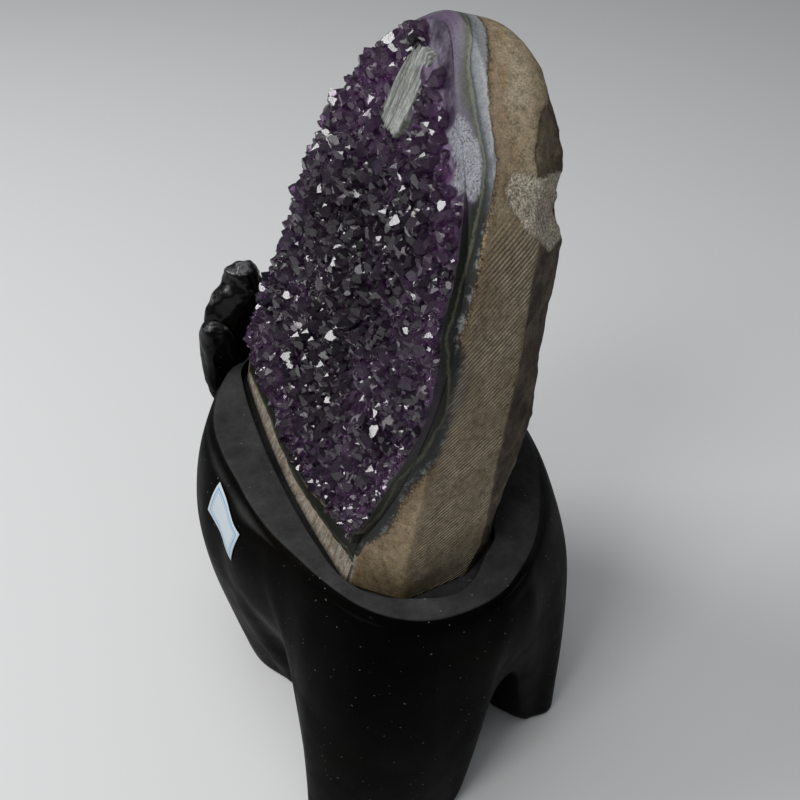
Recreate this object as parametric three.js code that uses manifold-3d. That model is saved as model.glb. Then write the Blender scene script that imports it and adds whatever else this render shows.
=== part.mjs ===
// Amethyst cathedral geode on its carved black wooden stand.
// Lengths are millimetres, +Z is up and the crystal face looks along -Y.
// The geode is one sawn stone (basalt outside, agate inside) with one crust of
// amethyst crystals. It stands loose in a shallow seat cut into the stand.
import * as THREE from 'three';
import { mergeVertices } from 'three/addons/utils/BufferGeometryUtils.js';
import Module from 'manifold-3d';

const wasm = await Module();
wasm.setup();

// Heights and fits
const standTop = 236;
const seatDepth = 10;
const seatFloor = standTop - seatDepth;
const fitGap = 0.3;
const foot = seatFloor + fitGap;

// Front plane of the stone, which leans back
const frontLean = THREE.MathUtils.degToRad(17);
const frontFootY = -44.3;
const footBulge = 5.5;

// Crystal crust: thickness of its bed, size of its crystals, and how far its
// edge stays inside the sawn edge and the free edge of the stone
const crustThickness = 4.5;
const crustSwell = 2.2;
const crustLeast = 1.5;
const crystalPitch = 10.5;
const crystalTip = [2.6, 6.4];
const crystalDip = 2.2;
const crystalLean = 0.34;
const cornerWander = 0.42;
const sawnInset = 0.5;
const freeInset = 2;
const trimDepth = [-5, 60];

// Flat scar in the crust: its width, and how high it lies above the front plane
const scarWidth = 24;
const scarHeight = 8.5;
const scarClearance = 20;

// Stand: the rounding of its top edge, the width of its soles and the height of
// the vault between its feet
const standCentre = new THREE.Vector2(-18, 12);
const edgeRound = 3;
const seatChamfer = 0.8;
const soleWidth = 36;
const domeHeight = 168;
const ribSteps = 3;
const wallShares = [0, 0.06, 0.15, 0.28, 0.42, 0.58, 0.74, 0.88, 1];
const vaultSteps = [[0.16, 0.5], [0.36, 0.82], [0.65, 0.97]];

// Paper label
const labelSize = [43, 26];
const labelPlace = [-23.5, 211.5];
const labelTurn = THREE.MathUtils.degToRad(9);
const frontWallRibs = [17, 22];
const labelThickness = 0.5;
const labelLift = 0.9;

const colours = {
  basalt: new THREE.MeshStandardMaterial({ color: 0x84745a, roughness: 0.85 }),
  amethyst: new THREE.MeshStandardMaterial({ color: 0x4a2a68, roughness: 0.12 }),
  wood: new THREE.MeshStandardMaterial({ color: 0x121212, roughness: 0.38 }),
  paper: new THREE.MeshStandardMaterial({ color: 0xdfe4ea, roughness: 0.7 }),
};

// The same pseudo-random row of numbers each time, from 0 to 1
function randomRow(seed) {
  let state = seed;
  return () => {
    state = (state + 0x6d2b79f5) | 0;
    let t = Math.imul(state ^ (state >>> 15), 1 | state);
    t = (t + Math.imul(t ^ (t >>> 7), 61 | t)) ^ t;
    return ((t ^ (t >>> 14)) >>> 0) / 4294967296;
  };
}

const between = (range, t) => range[0] + (range[1] - range[0]) * t;

// A closed body from a row of loops with equally many points, closed at both
// ends with a fan about a middle point
function loft(loops, firstMiddle, lastMiddle) {
  const count = loops[0].length;
  const points = [firstMiddle, ...loops.flat(), lastMiddle];
  const faces = [];
  const at = (row, column) => 1 + row * count + (column % count);
  for (let column = 0; column < count; column++) {
    faces.push(0, at(0, column), at(0, column + 1));
    for (let row = 0; row + 1 < loops.length; row++) {
      faces.push(at(row, column), at(row + 1, column), at(row + 1, column + 1));
      faces.push(at(row, column), at(row + 1, column + 1), at(row, column + 1));
    }
    const end = loops.length - 1;
    faces.push(points.length - 1, at(end, column + 1), at(end, column));
  }
  const geometry = new THREE.BufferGeometry();
  geometry.setAttribute('position', new THREE.Float32BufferAttribute(
    points.flatMap((p) => [p.x, p.y, p.z]), 3));
  geometry.setIndex(faces);
  return geometry;
}

const middleOf = (loop) => loop.reduce(
  (sum, p) => sum.add(p), new THREE.Vector3()).divideScalar(loop.length);

const mixLoops = (from, to, t) => from.map((p, i) => p.clone().lerp(to[i], t));

function solid(geometry) {
  const bare = geometry.clone();
  bare.deleteAttribute('normal');
  bare.deleteAttribute('uv');
  const merged = mergeVertices(bare, 1e-4);
  return new wasm.Manifold(new wasm.Mesh({
    numProp: 3,
    vertProperties: new Float32Array(merged.attributes.position.array),
    triVerts: new Uint32Array(merged.index.array),
  }));
}

function geometryOf(body) {
  const mesh = body.getMesh();
  const geometry = new THREE.BufferGeometry();
  geometry.setAttribute('position', new THREE.BufferAttribute(mesh.vertProperties, 3));
  geometry.setIndex(new THREE.BufferAttribute(mesh.triVerts, 1));
  return geometry;
}

function namedMesh(name, geometry, material) {
  const mesh = new THREE.Mesh(geometry, material);
  mesh.name = name;
  return mesh;
}

// Front plane: from (across, height, proud) to a point, proud being how far it
// stands in front of the plane
const frontNormal = new THREE.Vector3(0, -Math.cos(frontLean), Math.sin(frontLean));

function onFront(x, z, proud = 0) {
  const y = frontFootY + (z - standTop) * Math.tan(frontLean);
  return new THREE.Vector3(x, y, z).addScaledVector(frontNormal, proud);
}

// Outlines of the stone, each from its bottom left corner to its bottom right
// corner, up the right side, over the top and down the left side
const outlineSteps = 3;
const baseSteps = 10;

function outlineLoop(keys, baseBulge = 0) {
  const points = keys.map((k) => new THREE.Vector3(...k));
  const [left, right] = points;
  const base = Array.from({ length: baseSteps }, (_, i) => {
    const bulge = new THREE.Vector3(0, -baseBulge * Math.sin(Math.PI * i / baseSteps), 0);
    return left.clone().lerp(right, i / baseSteps).add(bulge);
  });
  const arch = new THREE.CatmullRomCurve3(
    [...points.slice(1), left], false, 'centripetal');
  const count = (points.length - 1) * outlineSteps;
  const rise = Array.from({ length: count }, (_, i) => arch.getPoint(i / count));
  return [...base, ...rise];
}

const frontKeys = [
  [-138, foot], [66, foot], [66, 253], [79, 290], [87.5, 322], [92, 374], [82, 420],
  [62, 456], [25, 490], [-3, 516], [-45, 501], [-71, 481], [-92, 456], [-103, 436],
  [-121, 384], [-124, 343], [-136, 300], [-144, 260],
];
const frontEdge = outlineLoop(
  frontKeys.map(([x, z]) => onFront(x, z).toArray()), footBulge);

// Edge of the crystal bed: inside the front edge, and above the plain lower rim
const bedInset = 1.6;
const rimHeight = 21;
const rimFade = 30;
const bedMiddle = onFront(-20, 380);

function bedLoop(inset, proud) {
  return frontEdge.map((p) => {
    const inward = new THREE.Vector3().subVectors(bedMiddle, p).setLength(inset);
    const q = p.clone().add(inward);
    const lift = rimHeight * Math.max(0, 1 - (q.z - foot) / rimFade);
    return onFront(q.x, q.z + lift, proud);
  });
}

// First arris of the sawn side: it runs out to the front corner at the base
const sideKeys = [
  [-139, -44.5, foot], [91, -20.3, foot], [95.5, -20, 262], [95.5, -17, 285],
  [93.5, -10, 315], [92.8, 1, 374], [85.5, 14.5, 420], [74, 27.5, 460], [37, 42, 502],
  [-3, 46.5, 519.6], [-45.6, 40, 502], [-72, 34, 481.6], [-93.4, 27, 456.6],
  [-104.4, 20, 436.2], [-122.4, 3.6, 384], [-125.6, -9.5, 343], [-137.6, -22, 300],
  [-145.2, -35, 260],
];

// Arris between the sawn side and the back flank, then over the ground top
const flankKeys = [
  [-139, 12, foot], [88, 20, foot], [86.2, 31, 252], [84, 35, 284], [83, 38.5, 319],
  [81, 47, 374], [79, 50, 420], [72.5, 57, 461], [38, 71, 500], [-5, 76, 510],
  [-44, 73, 493], [-72, 67, 473], [-92, 61, 448], [-103, 56, 428], [-120, 41, 378],
  [-125, 32, 340], [-136, 22, 298], [-144, 16, 258],
];

// Edge of the back
const backKeys = [
  [-130, 40, foot], [76, 41, foot], [73, 47, 255], [70, 53, 286], [66.5, 60.5, 319],
  [61, 71.5, 374], [55, 80, 420], [45, 84.5, 449], [25, 89.5, 472], [-5, 93, 482],
  [-39, 90, 467], [-63, 84, 446], [-80, 78, 423], [-91, 73, 402], [-107, 65, 359],
  [-113, 55, 322], [-124, 48, 285], [-131, 43, 254],
];

// A corner along a middle loop is cut back, little at the sawn side and much
// over the top and down the left, where it was ground round
function roundShare(p) {
  const high = THREE.MathUtils.smoothstep(p.z, 425, 500);
  const left = THREE.MathUtils.smoothstep(-p.x, -40, 80);
  return 0.05 + 0.33 * Math.max(high, left);
}

function cornerLoops(before, corner, after) {
  const bend = (t) => corner.map((p, i) => {
    const share = roundShare(p);
    const start = p.clone().lerp(before[i], share);
    const end = p.clone().lerp(after[i], share);
    return start.clone().lerp(p, t).lerp(p.clone().lerp(end, t), t);
  });
  return [0, 0.5, 1].map(bend);
}

// A broken hollow: a rough lump whose shape is taken out of the stone
function roughLump(centre, size, turn, seed) {
  const random = randomRow(seed);
  const geometry = new THREE.IcosahedronGeometry(1, 2);
  geometry.deleteAttribute('normal');
  geometry.deleteAttribute('uv');
  const lump = mergeVertices(geometry, 1e-4);
  const position = lump.attributes.position;
  for (let i = 0; i < position.count; i++) {
    const p = new THREE.Vector3().fromBufferAttribute(position, i);
    p.multiplyScalar(0.88 + 0.2 * random()).multiply(new THREE.Vector3(...size));
    p.applyEuler(new THREE.Euler(...turn)).add(new THREE.Vector3(...centre));
    position.setXYZ(i, p.x, p.y, p.z);
  }
  return solid(lump);
}

function geodeRock() {
  const side = outlineLoop(sideKeys);
  const flank = outlineLoop(flankKeys);
  const back = outlineLoop(backKeys);
  const flankRound = cornerLoops(side, flank, back);
  const backMiddle = middleOf(back);
  const backInner = back.map((p) => p.clone().lerp(backMiddle, 0.3));
  const backRound = cornerLoops(flank, back, backInner);
  const loops = [
    bedLoop(bedInset, 0), frontEdge, side, mixLoops(side, flankRound[0], 0.5),
    ...flankRound, ...backRound, backInner,
  ];
  let stone = solid(loft(loops, bedMiddle, backMiddle));
  const fracture = roughLump([82, 59, 454], [12, 19, 25], [0, -0.3, 0.56], 11);
  const notch = roughLump([51, 89, 468], [13, 13, 25], [0, -0.2, 0.9], 5);
  stone = stone.subtract(fracture).subtract(notch);
  return namedMesh('geode_rock', geometryOf(stone), colours.basalt);
}

// Height of the crystal bed above the front plane: broad uneven swells
function bedHeight(x, z) {
  const swell = Math.sin(x * 0.047 + 1.1) * Math.cos(z * 0.039 - 0.4)
    + 0.6 * Math.sin(x * 0.083 - z * 0.061);
  return crustThickness + crustSwell * swell;
}

// The crystals as one faceted sheet over a rectangle of the front plane: a
// honeycomb whose cells are six-sided points, each leaning its own way, over
// low corners that neighbours share
const sheetLeft = -168;
const sheetLow = 236;
const sheetSize = [280, 318];

function crystalSheet() {
  const random = randomRow(7);
  const rowPitch = crystalPitch * Math.sqrt(0.75);
  const [sheetColumns, sheetRows] = sheetSize.map((size) => Math.ceil(size / crystalPitch));
  const points = [];
  const faces = [];
  const corners = new Map();
  const outerEdges = new Map();
  const place = (u, v, proud) => {
    const [x, z] = [sheetLeft + u, sheetLow + v * Math.cos(frontLean)];
    points.push(onFront(x, z, Math.max(crustLeast, bedHeight(x, z) + proud)));
    return points.length - 1;
  };
  const wander = () => (random() - 0.5) * crystalPitch * cornerWander;
  const cornerAt = (u, v) => {
    const key = `${Math.round(u * 4)},${Math.round(v * 4)}`;
    if (!corners.has(key)) {
      corners.set(key, place(u + wander(), v + wander(), -crystalDip * random()));
    }
    return corners.get(key);
  };
  for (let row = 0; row < sheetRows; row++) {
    for (let column = 0; column < sheetColumns; column++) {
      const u = (column + 0.5 * (row % 2)) * crystalPitch;
      const v = row * rowPitch;
      const ring = Array.from({ length: 6 }, (_, i) => {
        const angle = (i / 3 + 1 / 6) * Math.PI;
        const reach = crystalPitch / Math.sqrt(3);
        return cornerAt(u + reach * Math.cos(angle), v + reach * Math.sin(angle));
      });
      const turn = random() * 2 * Math.PI;
      const slide = crystalPitch * crystalLean * Math.sqrt(random());
      const tip = place(u + slide * Math.cos(turn), v + slide * Math.sin(turn),
        between(crystalTip, random()));
      ring.forEach((a, i) => {
        const b = ring[(i + 1) % 6];
        faces.push(tip, a, b);
        if (!outerEdges.delete(`${b}>${a}`)) outerEdges.set(`${a}>${b}`, [a, b]);
      });
    }
  }
  return { points, faces, outerEdges: [...outerEdges.values()] };
}

// The sheet with walls down to the bed and a flat back
function crystalBlock() {
  const { points, faces, outerEdges } = crystalSheet();
  const below = new Map();
  const down = (i) => {
    if (!below.has(i)) {
      const p = points[i];
      const proud = new THREE.Vector3().subVectors(p, bedMiddle).dot(frontNormal);
      points.push(p.clone().addScaledVector(frontNormal, fitGap - proud));
      below.set(i, points.length - 1);
    }
    return below.get(i);
  };
  points.push(bedMiddle.clone().addScaledVector(frontNormal, fitGap));
  const middle = points.length - 1;
  for (const [a, b] of outerEdges) {
    faces.push(a, down(a), down(b), a, down(b), b, middle, down(b), down(a));
  }
  const geometry = new THREE.BufferGeometry();
  geometry.setAttribute('position', new THREE.Float32BufferAttribute(
    points.flatMap((p) => [p.x, p.y, p.z]), 3));
  geometry.setIndex(faces);
  return solid(geometry);
}

// Flat streaked scar where crystals near the top were sheared off
const scarEnds = [onFront(-13, 505), onFront(-39, 446)];

function scarCutter() {
  const [high, low] = scarEnds;
  const along = new THREE.Vector3().subVectors(high, low);
  const box = new THREE.BoxGeometry(along.length(), scarWidth, scarClearance);
  const across = new THREE.Vector3().crossVectors(frontNormal, along).normalize();
  const frame = new THREE.Matrix4().makeBasis(
    along.clone().normalize(), across, frontNormal);
  const middle = high.clone().lerp(low, 0.5);
  middle.addScaledVector(frontNormal, scarHeight + scarClearance / 2);
  return box.applyMatrix4(frame.setPosition(middle));
}

// The crust reaches the sawn arris on the right and along the bottom, and ends
// a little short of the edge of the stone over the top and on the left
function crustTrim() {
  const insetAt = (p) => {
    const free = THREE.MathUtils.smoothstep(30 - p.x, 0, 60);
    const rise = THREE.MathUtils.smoothstep(p.z, 250, 290);
    return THREE.MathUtils.lerp(sawnInset, freeInset, free * rise);
  };
  const loopAt = (proud) => bedLoop(bedInset, proud).map((p) => {
    const inward = new THREE.Vector3().subVectors(bedMiddle, p)
      .addScaledVector(frontNormal, proud).setLength(insetAt(p));
    return p.clone().add(inward);
  });
  const [low, high] = trimDepth;
  return solid(loft([loopAt(high), loopAt(low)], onFront(bedMiddle.x, bedMiddle.z, high),
    onFront(bedMiddle.x, bedMiddle.z, low)));
}

function amethystCrust() {
  const crust = crystalBlock().intersect(crustTrim()).subtract(solid(scarCutter()));
  return namedMesh('amethyst_crust', geometryOf(crust), colours.amethyst);
}

// Ribs of the stand, counter-clockwise from the right end seen from above:
// the top edge [x, y], how far the wall bellies out below it, and the end of
// the wall [x, y, z], whose z is 0 on a foot and higher in an arch
const ribs = [
  [[118, 14], 9, [119, 6, 0]],
  [[114, 32], 9, [110, 37, 121]],
  [[104, 49], 11, [98, 59, 112]],
  [[91, 65], 10, [80, 92, 0]],
  [[74, 79], 13, [80, 114, 0]],
  [[52, 92], 18, [50, 127, 0]],
  [[30, 102], 17, [26, 106, 62]],
  [[0, 110], 17, [-4, 114, 0]],
  [[-36, 111], 20, [-34, 126, 0]],
  [[-72, 103], 19, [-72, 118, 0]],
  [[-105, 88], 18, [-98, 84, 76]],
  [[-138, 66], 14, [-128, 64, 74]],
  [[-160, 37], 12, [-162, 44, 0]],
  [[-168, 3], 11, [-174, 6, 0]],
  [[-163, -30], 11, [-166, -30, 0]],
  [[-144, -58], 11, [-138, -50, 66]],
  [[-119, -75], 12, [-106, -72, 58]],
  [[-90, -85], 20, [-84, -90, 0]],
  [[-60, -87], 24, [-52, -86, 0]],
  [[-32, -85], 24, [-24, -70, 0]],
  [[-8, -83], 22, [-2, -72, 78]],
  [[18, -78], 13, [34, -70, 86]],
  [[42, -70], 9, [62, -84, 0]],
  [[66, -61], 11, [86, -92, 0]],
  [[92, -47], 13, [112, -78, 0]],
  [[109, -29], 12, [124, -46, 0]],
  [[117, -10], 10, [126, -20, 0]],
];

// Edge of the seat, seen from above
const seatKeys = [
  [-153, -34], [-141, -48.5], [-120, -53.5], [-75, -57], [-20, -57.5], [35, -54.5],
  [68, -48.5], [86, -36],
  [99, -12], [103, 6], [98, 20], [85, 34], [72, 47], [20, 50], [-60, 50], [-132, 49],
  [-150, 28], [-156, -4],
];

// Distance from the stand's middle to a closed outline, by direction
function reachOf(outline) {
  const curve = new THREE.CatmullRomCurve3(
    outline.map(([x, y]) => new THREE.Vector3(x, y, 0)), true, 'centripetal');
  const points = curve.getPoints(outline.length * 12);
  return (angle) => {
    const [dx, dy] = [Math.cos(angle), Math.sin(angle)];
    for (let i = 0; i + 1 < points.length; i++) {
      const [a, b] = [points[i], points[i + 1]];
      const [ax, ay] = [a.x - standCentre.x, a.y - standCentre.y];
      const [ex, ey] = [b.x - a.x, b.y - a.y];
      const cross = dx * ey - dy * ex;
      const along = (dx * ay - dy * ax) / -cross;
      const reach = (ax * ey - ay * ex) / cross;
      if (reach > 0 && along >= 0 && along <= 1) return reach;
    }
    return 0;
  };
}

function ribCurve(pick) {
  const curve = new THREE.CatmullRomCurve3(ribs.map(pick), true, 'centripetal');
  const count = ribs.length * ribSteps;
  return Array.from({ length: count }, (_, i) => curve.getPoint(i / count));
}

const topEdge = ribCurve(([top]) => new THREE.Vector3(...top, standTop - edgeRound));
const wallEnd = ribCurve(([, , end]) => new THREE.Vector3(...end))
  .map((p) => p.setZ(Math.max(0, p.z)));
const belly = ribCurve(([, out], i) => new THREE.Vector3(out, i * 10, 0)).map((p) => p.x);

// Outward direction of the top edge, level
const outward = topEdge.map((p, i) => {
  const next = topEdge[(i + 1) % topEdge.length];
  const before = topEdge[(i + topEdge.length - 1) % topEdge.length];
  return new THREE.Vector3(next.y - before.y, before.x - next.x, 0).normalize();
});

// The wall from its top edge (share 0) to its end (share 1): straight between
// the two, plus a belly that is widest near a third of the way down
function wallPoint(i, share) {
  const bow = belly[i] * Math.sin(Math.PI * share ** 0.62);
  return topEdge[i].clone().lerp(wallEnd[i], share).addScaledVector(outward[i], bow);
}

function standBody() {
  const reach = reachOf(seatKeys);
  const columns = topEdge.map((_, i) => i);
  const seatLoop = (grow, z) => topEdge.map((p) => {
    const angle = Math.atan2(p.y - standCentre.y, p.x - standCentre.x);
    const r = reach(angle) + grow;
    return new THREE.Vector3(
      standCentre.x + r * Math.cos(angle), standCentre.y + r * Math.sin(angle), z);
  });
  const rim = seatLoop(seatChamfer, standTop);
  const landEdge = columns.map((i) => topEdge[i].clone()
    .addScaledVector(outward[i], -edgeRound).setZ(standTop));
  const wall = wallShares.map((share) => columns.map((i) => wallPoint(i, share)));
  const middle = new THREE.Vector3(standCentre.x, standCentre.y, 0);
  const inner = columns.map((i) => {
    const inward = middle.clone().setZ(wallEnd[i].z).sub(wallEnd[i]).setLength(soleWidth);
    return wallEnd[i].clone().add(inward);
  });
  const vault = (share, height) => inner.map((p) => {
    const q = p.clone().lerp(middle, share);
    return q.setZ(p.z + (domeHeight - p.z) * height);
  });
  const loops = [
    seatLoop(0, seatFloor), rim, landEdge, ...wall, inner,
    ...vaultSteps.map((step) => vault(...step)),
  ];
  return solid(loft(loops, middle.clone().setZ(seatFloor), middle.clone().setZ(domeHeight)));
}

// Branch stump at the left end: lumps along a bent line
const stumpPath = [
  [-146, -50, 190], [-156, -60, 224], [-160, -61, 247], [-163, -50, 268],
  [-163, -41, 289], [-162, -37, 302],
];
const stumpRadii = [15, 16, 16, 12.5, 16, 12];
const stumpTop = 314;
const stumpSides = 14;
const stumpSteps = 15;
const stumpTilt = 0.18;

function stump() {
  const line = new THREE.CatmullRomCurve3(stumpPath.map((p) => new THREE.Vector3(...p)));
  const sizes = new THREE.CatmullRomCurve3(
    stumpRadii.map((r, i) => new THREE.Vector3(r, i * 10, 0)));
  const loops = Array.from({ length: stumpSteps + 1 }, (_, k) => {
    const centre = line.getPoint(k / stumpSteps);
    const radius = sizes.getPoint(k / stumpSteps).x;
    return Array.from({ length: stumpSides }, (_, j) => {
      const angle = (j / stumpSides) * 2 * Math.PI;
      const lump = 1 + 0.12 * Math.sin(2 * angle + k * 0.55) + 0.06 * Math.sin(3 * angle - k);
      return new THREE.Vector3(
        centre.x + radius * lump * Math.cos(angle),
        centre.y + radius * lump * Math.sin(angle),
        centre.z + stumpTilt * radius * Math.sin(angle + 1));
    });
  });
  const last = line.getPoint(1);
  const shoulder = loops[stumpSteps].map((p) => p.clone().lerp(
    new THREE.Vector3(last.x, last.y, p.z), 0.4).setZ(p.z + (stumpTop - last.z) * 0.7));
  return solid(loft([shoulder, ...loops.reverse()],
    new THREE.Vector3(last.x, last.y, stumpTop),
    new THREE.Vector3(...stumpPath[0])));
}

function woodStand() {
  return namedMesh('wood_stand', geometryOf(standBody().add(stump())), colours.wood);
}

// The wall at a height, at a fraction of a column
function wallAtHeight(column, z) {
  const i = Math.floor(column);
  const points = [i, i + 1].map((k) => wallPoint(
    k, (topEdge[k].z - z) / (topEdge[k].z - wallEnd[k].z)));
  return points[0].lerp(points[1], column - i);
}

// The front wall at a place across and a height, and its outward direction
function frontWall(x, z) {
  let [low, high] = frontWallRibs.map((rib) => rib * ribSteps);
  for (let step = 0; step < 20; step++) {
    const middle = (low + high) / 2;
    if (wallAtHeight(middle, z).x < x) low = middle;
    else high = middle;
  }
  const p = wallAtHeight(low, z);
  const along = wallAtHeight(low + 0.2, z).sub(p);
  const down = wallAtHeight(low, z - 1).sub(p);
  return [p, down.cross(along).normalize()];
}

// The label follows the wall below the front edge of the stand
function paperLabel() {
  const [across, down] = [6, 3];
  const surface = (a, b, proud) => {
    const [dx, dz] = [(a - 0.5) * labelSize[0], (0.5 - b) * labelSize[1]];
    const [cos, sin] = [Math.cos(labelTurn), Math.sin(labelTurn)];
    const [p, normal] = frontWall(
      labelPlace[0] + dx * cos + dz * sin, labelPlace[1] - dx * sin + dz * cos);
    return p.addScaledVector(normal, proud);
  };
  const border = [];
  for (let i = 0; i < across; i++) border.push([i / across, 1]);
  for (let i = 0; i < down; i++) border.push([1, 1 - i / down]);
  for (let i = 0; i < across; i++) border.push([1 - i / across, 0]);
  for (let i = 0; i < down; i++) border.push([0, i / down]);
  const ring = (shrink, proud) => border.map(([a, b]) => surface(
    0.5 + (a - 0.5) * shrink, 0.5 + (b - 0.5) * shrink, proud));
  const [under, over] = [labelLift, labelLift + labelThickness];
  return namedMesh('paper_label', loft(
    [ring(0.5, over), ring(1, over), ring(1, under), ring(0.5, under)],
    surface(0.5, 0.5, over), surface(0.5, 0.5, under)), colours.paper);
}

export const group = new THREE.Group();
group.add(geodeRock(), amethystCrust(), woodStand(), paperLabel());

// The origin is under the middle of the whole, on the surface it stands on
const box = new THREE.Box3().setFromObject(group, true);
const centre = box.getCenter(new THREE.Vector3());
group.position.set(-centre.x, -centre.y, -box.min.z);

export default group;
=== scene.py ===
# %% [markdown]
# # An amethyst cathedral geode on its carved stand
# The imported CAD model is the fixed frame. Around it this lesson builds four things as
# they look close up: the sawn basalt shell, the crystals that line it, the black carved
# stand and the small paper label. The CAD solids give the sizes, and numpy surfaces
# give the finish.

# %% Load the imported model
import bpy
import numpy as np
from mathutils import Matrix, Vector


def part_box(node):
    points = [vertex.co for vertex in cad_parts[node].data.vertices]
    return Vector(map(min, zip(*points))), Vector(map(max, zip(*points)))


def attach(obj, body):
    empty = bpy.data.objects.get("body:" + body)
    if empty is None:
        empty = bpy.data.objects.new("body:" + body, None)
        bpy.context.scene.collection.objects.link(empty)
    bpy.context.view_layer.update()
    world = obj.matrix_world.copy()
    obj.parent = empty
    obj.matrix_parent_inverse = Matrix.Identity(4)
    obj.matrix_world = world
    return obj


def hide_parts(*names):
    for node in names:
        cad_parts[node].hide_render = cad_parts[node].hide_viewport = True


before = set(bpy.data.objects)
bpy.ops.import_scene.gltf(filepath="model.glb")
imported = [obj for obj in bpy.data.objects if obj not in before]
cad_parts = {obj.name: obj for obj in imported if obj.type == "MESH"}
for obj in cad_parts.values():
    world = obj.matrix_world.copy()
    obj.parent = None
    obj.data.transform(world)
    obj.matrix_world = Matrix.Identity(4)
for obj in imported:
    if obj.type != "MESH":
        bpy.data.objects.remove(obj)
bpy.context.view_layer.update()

# %% [markdown]
# ## The camera
# The photograph looks down at 41 degrees from the front right of the stone. The place
# and the lens were found by fitting the stone's and the stand's corners to it.

# %% Camera
camera_data = bpy.data.cameras.new("camera")
camera_data.sensor_width = 36
camera_data.lens = 41.85
camera = bpy.data.objects.new("camera", camera_data)
bpy.context.scene.collection.objects.link(camera)
camera.location = (0.4172, -0.1654, 0.666)
camera.rotation_mode = "QUATERNION"
camera.rotation_quaternion = Vector((-0.6932, 0.2985, -0.6561)).to_track_quat("-Z", "Y")
bpy.context.scene.camera = camera
print("camera lens", camera_data.lens, "mm")

# %% [markdown]
# ## Working in the carver's millimetres
# Shapes are worked out in millimetres, in the carver's own frame: the stand's sole is
# at height 0 and the stone's front plane leans back by 17 degrees. At the end each
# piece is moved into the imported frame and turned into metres.

# %% Heights and the leaning front plane
STAND_TOP = 236.0
SEAT_FLOOR = 226.0
SEAT_GAP = 0.3
FOOT = SEAT_FLOOR + SEAT_GAP
LEAN = np.radians(17)
FRONT_FOOT_Y = -44.3
FRONT_NORMAL = np.array([0.0, -np.cos(LEAN), np.sin(LEAN)])


def on_front(x, z, proud=0.0):
    """The point of the front plane at x and height z, moved out by proud along its normal."""
    x, z, proud = np.broadcast_arrays(np.asarray(x, float), z, proud)
    y = FRONT_FOOT_Y + (z - STAND_TOP) * np.tan(LEAN)
    return np.stack([x, y, z], -1) + proud[..., None] * FRONT_NORMAL


BED_MIDDLE = on_front(-20, 380)
print("middle of the crystal bed", BED_MIDDLE.round(1))


# %% Small curves and blends
def smooth(low, high, x):
    """0 below low, 1 above high, and an S-shaped rise, 3t^2 - 2t^3, between them."""
    t = np.clip((np.asarray(x, float) - low) / (high - low), 0, 1)
    return t * t * (3 - 2 * t)


def unit(vectors):
    """Each vector divided by its length."""
    return vectors / np.maximum(np.linalg.norm(vectors, axis=-1, keepdims=True), 1e-9)


def curve(keys, t, closed=False):
    """A centripetal Catmull-Rom curve through keys, for t from 0 to 1: between two keys
    a cubic, whose end slopes come from the neighbouring keys and the square roots of
    their distances."""
    keys = np.asarray(keys, float)
    if closed:
        at = np.asarray(t) % 1 * len(keys)
        keys = np.vstack([keys[-1], keys, keys[:2]])
    else:
        at = np.asarray(t) * (len(keys) - 1)
        keys = np.vstack([2 * keys[0] - keys[1], keys, 2 * keys[-1] - keys[-2]])
    i = np.clip(np.floor(at).astype(int), 0, len(keys) - 4)
    w = (at - i)[:, None]
    p = [keys[i + k] for k in range(4)]
    d = [np.sqrt(np.linalg.norm(p[k + 1] - p[k], axis=1))[:, None] for k in range(3)]
    d[0] = np.where(d[0] < 1e-4, d[1], d[0])
    d[2] = np.where(d[2] < 1e-4, d[1], d[2])
    slope_in = ((p[1] - p[0]) / d[0] - (p[2] - p[0]) / (d[0] + d[1])
                + (p[2] - p[1]) / d[1]) * d[1]
    slope_out = ((p[2] - p[1]) / d[1] - (p[3] - p[1]) / (d[1] + d[2])
                 + (p[3] - p[2]) / d[2]) * d[1]
    rise = p[2] - p[1]
    return (p[1] + slope_in * w + (3 * rise - 2 * slope_in - slope_out) * w**2
            + (slope_in + slope_out - 2 * rise) * w**3)


def number_curve(numbers, t, closed=False):
    """The same curve through plain numbers, which stand 10 apart. Gives one column."""
    keys = np.column_stack([numbers, 10.0 * np.arange(len(numbers)), np.zeros(len(numbers))])
    return curve(keys, t, closed)[:, :1]


print("an S-shaped rise from 0 to 10:", smooth(0, 10, np.arange(0, 11, 2)).round(2))

# %% [markdown]
# ## Natural unevenness
# Stone, wood and crystal are never even. A lattice of random numbers, blended smoothly
# between its corners, gives soft lumps of any size. Its numbers come from a whole-number
# hash of the corner, so every run gives the same stone.

# %% Lumps from a lattice
def lattice(corner, seed):
    """A number from -1 to 1 for each whole-number corner: its coordinates are multiplied
    by large odd numbers, added, and scrambled by shifts and products."""
    h = (corner[..., 0] * 374761393 + corner[..., 1] * 668265263
         + corner[..., 2] * 2147483647 + seed * 974634777).astype(np.uint64)
    h = (h ^ (h >> np.uint64(13))) * np.uint64(1274126177)
    h = (h ^ (h >> np.uint64(16))) * np.uint64(2246822519)
    return ((h >> np.uint64(8)) & np.uint64(0xFFFF)).astype(float) / 32767.5 - 1


def lumps(points, size, seed, octaves=1):
    """Lumps of about the given size: the lattice numbers of the eight corners round each
    point, blended with S-curves. Each further octave is half as big and half as high."""
    total = np.zeros(points.shape[:-1])
    for octave in range(octaves):
        q = points / (np.asarray(size, float) / 2**octave) + 17.3 * (octave + 1)
        cell = np.floor(q).astype(np.int64)
        f = q - cell
        f = f * f * (3 - 2 * f)
        for corner in np.ndindex(2, 2, 2):
            share = np.prod(np.where(corner, f, 1 - f), axis=-1)
            total += share * lattice(cell + np.array(corner), seed + octave) / 2**octave
    return total


print("lumps along a line:", lumps(np.arange(15.0).reshape(5, 3), 5, 1).round(2))

# %% [markdown]
# ## From grids to bodies
# A surface here is a grid of points: rows along one parameter, columns along the other.
# Faces join the neighbours. A body is closed by a fan at either end of a tube, or by a
# wall between a top and an under side.

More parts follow.
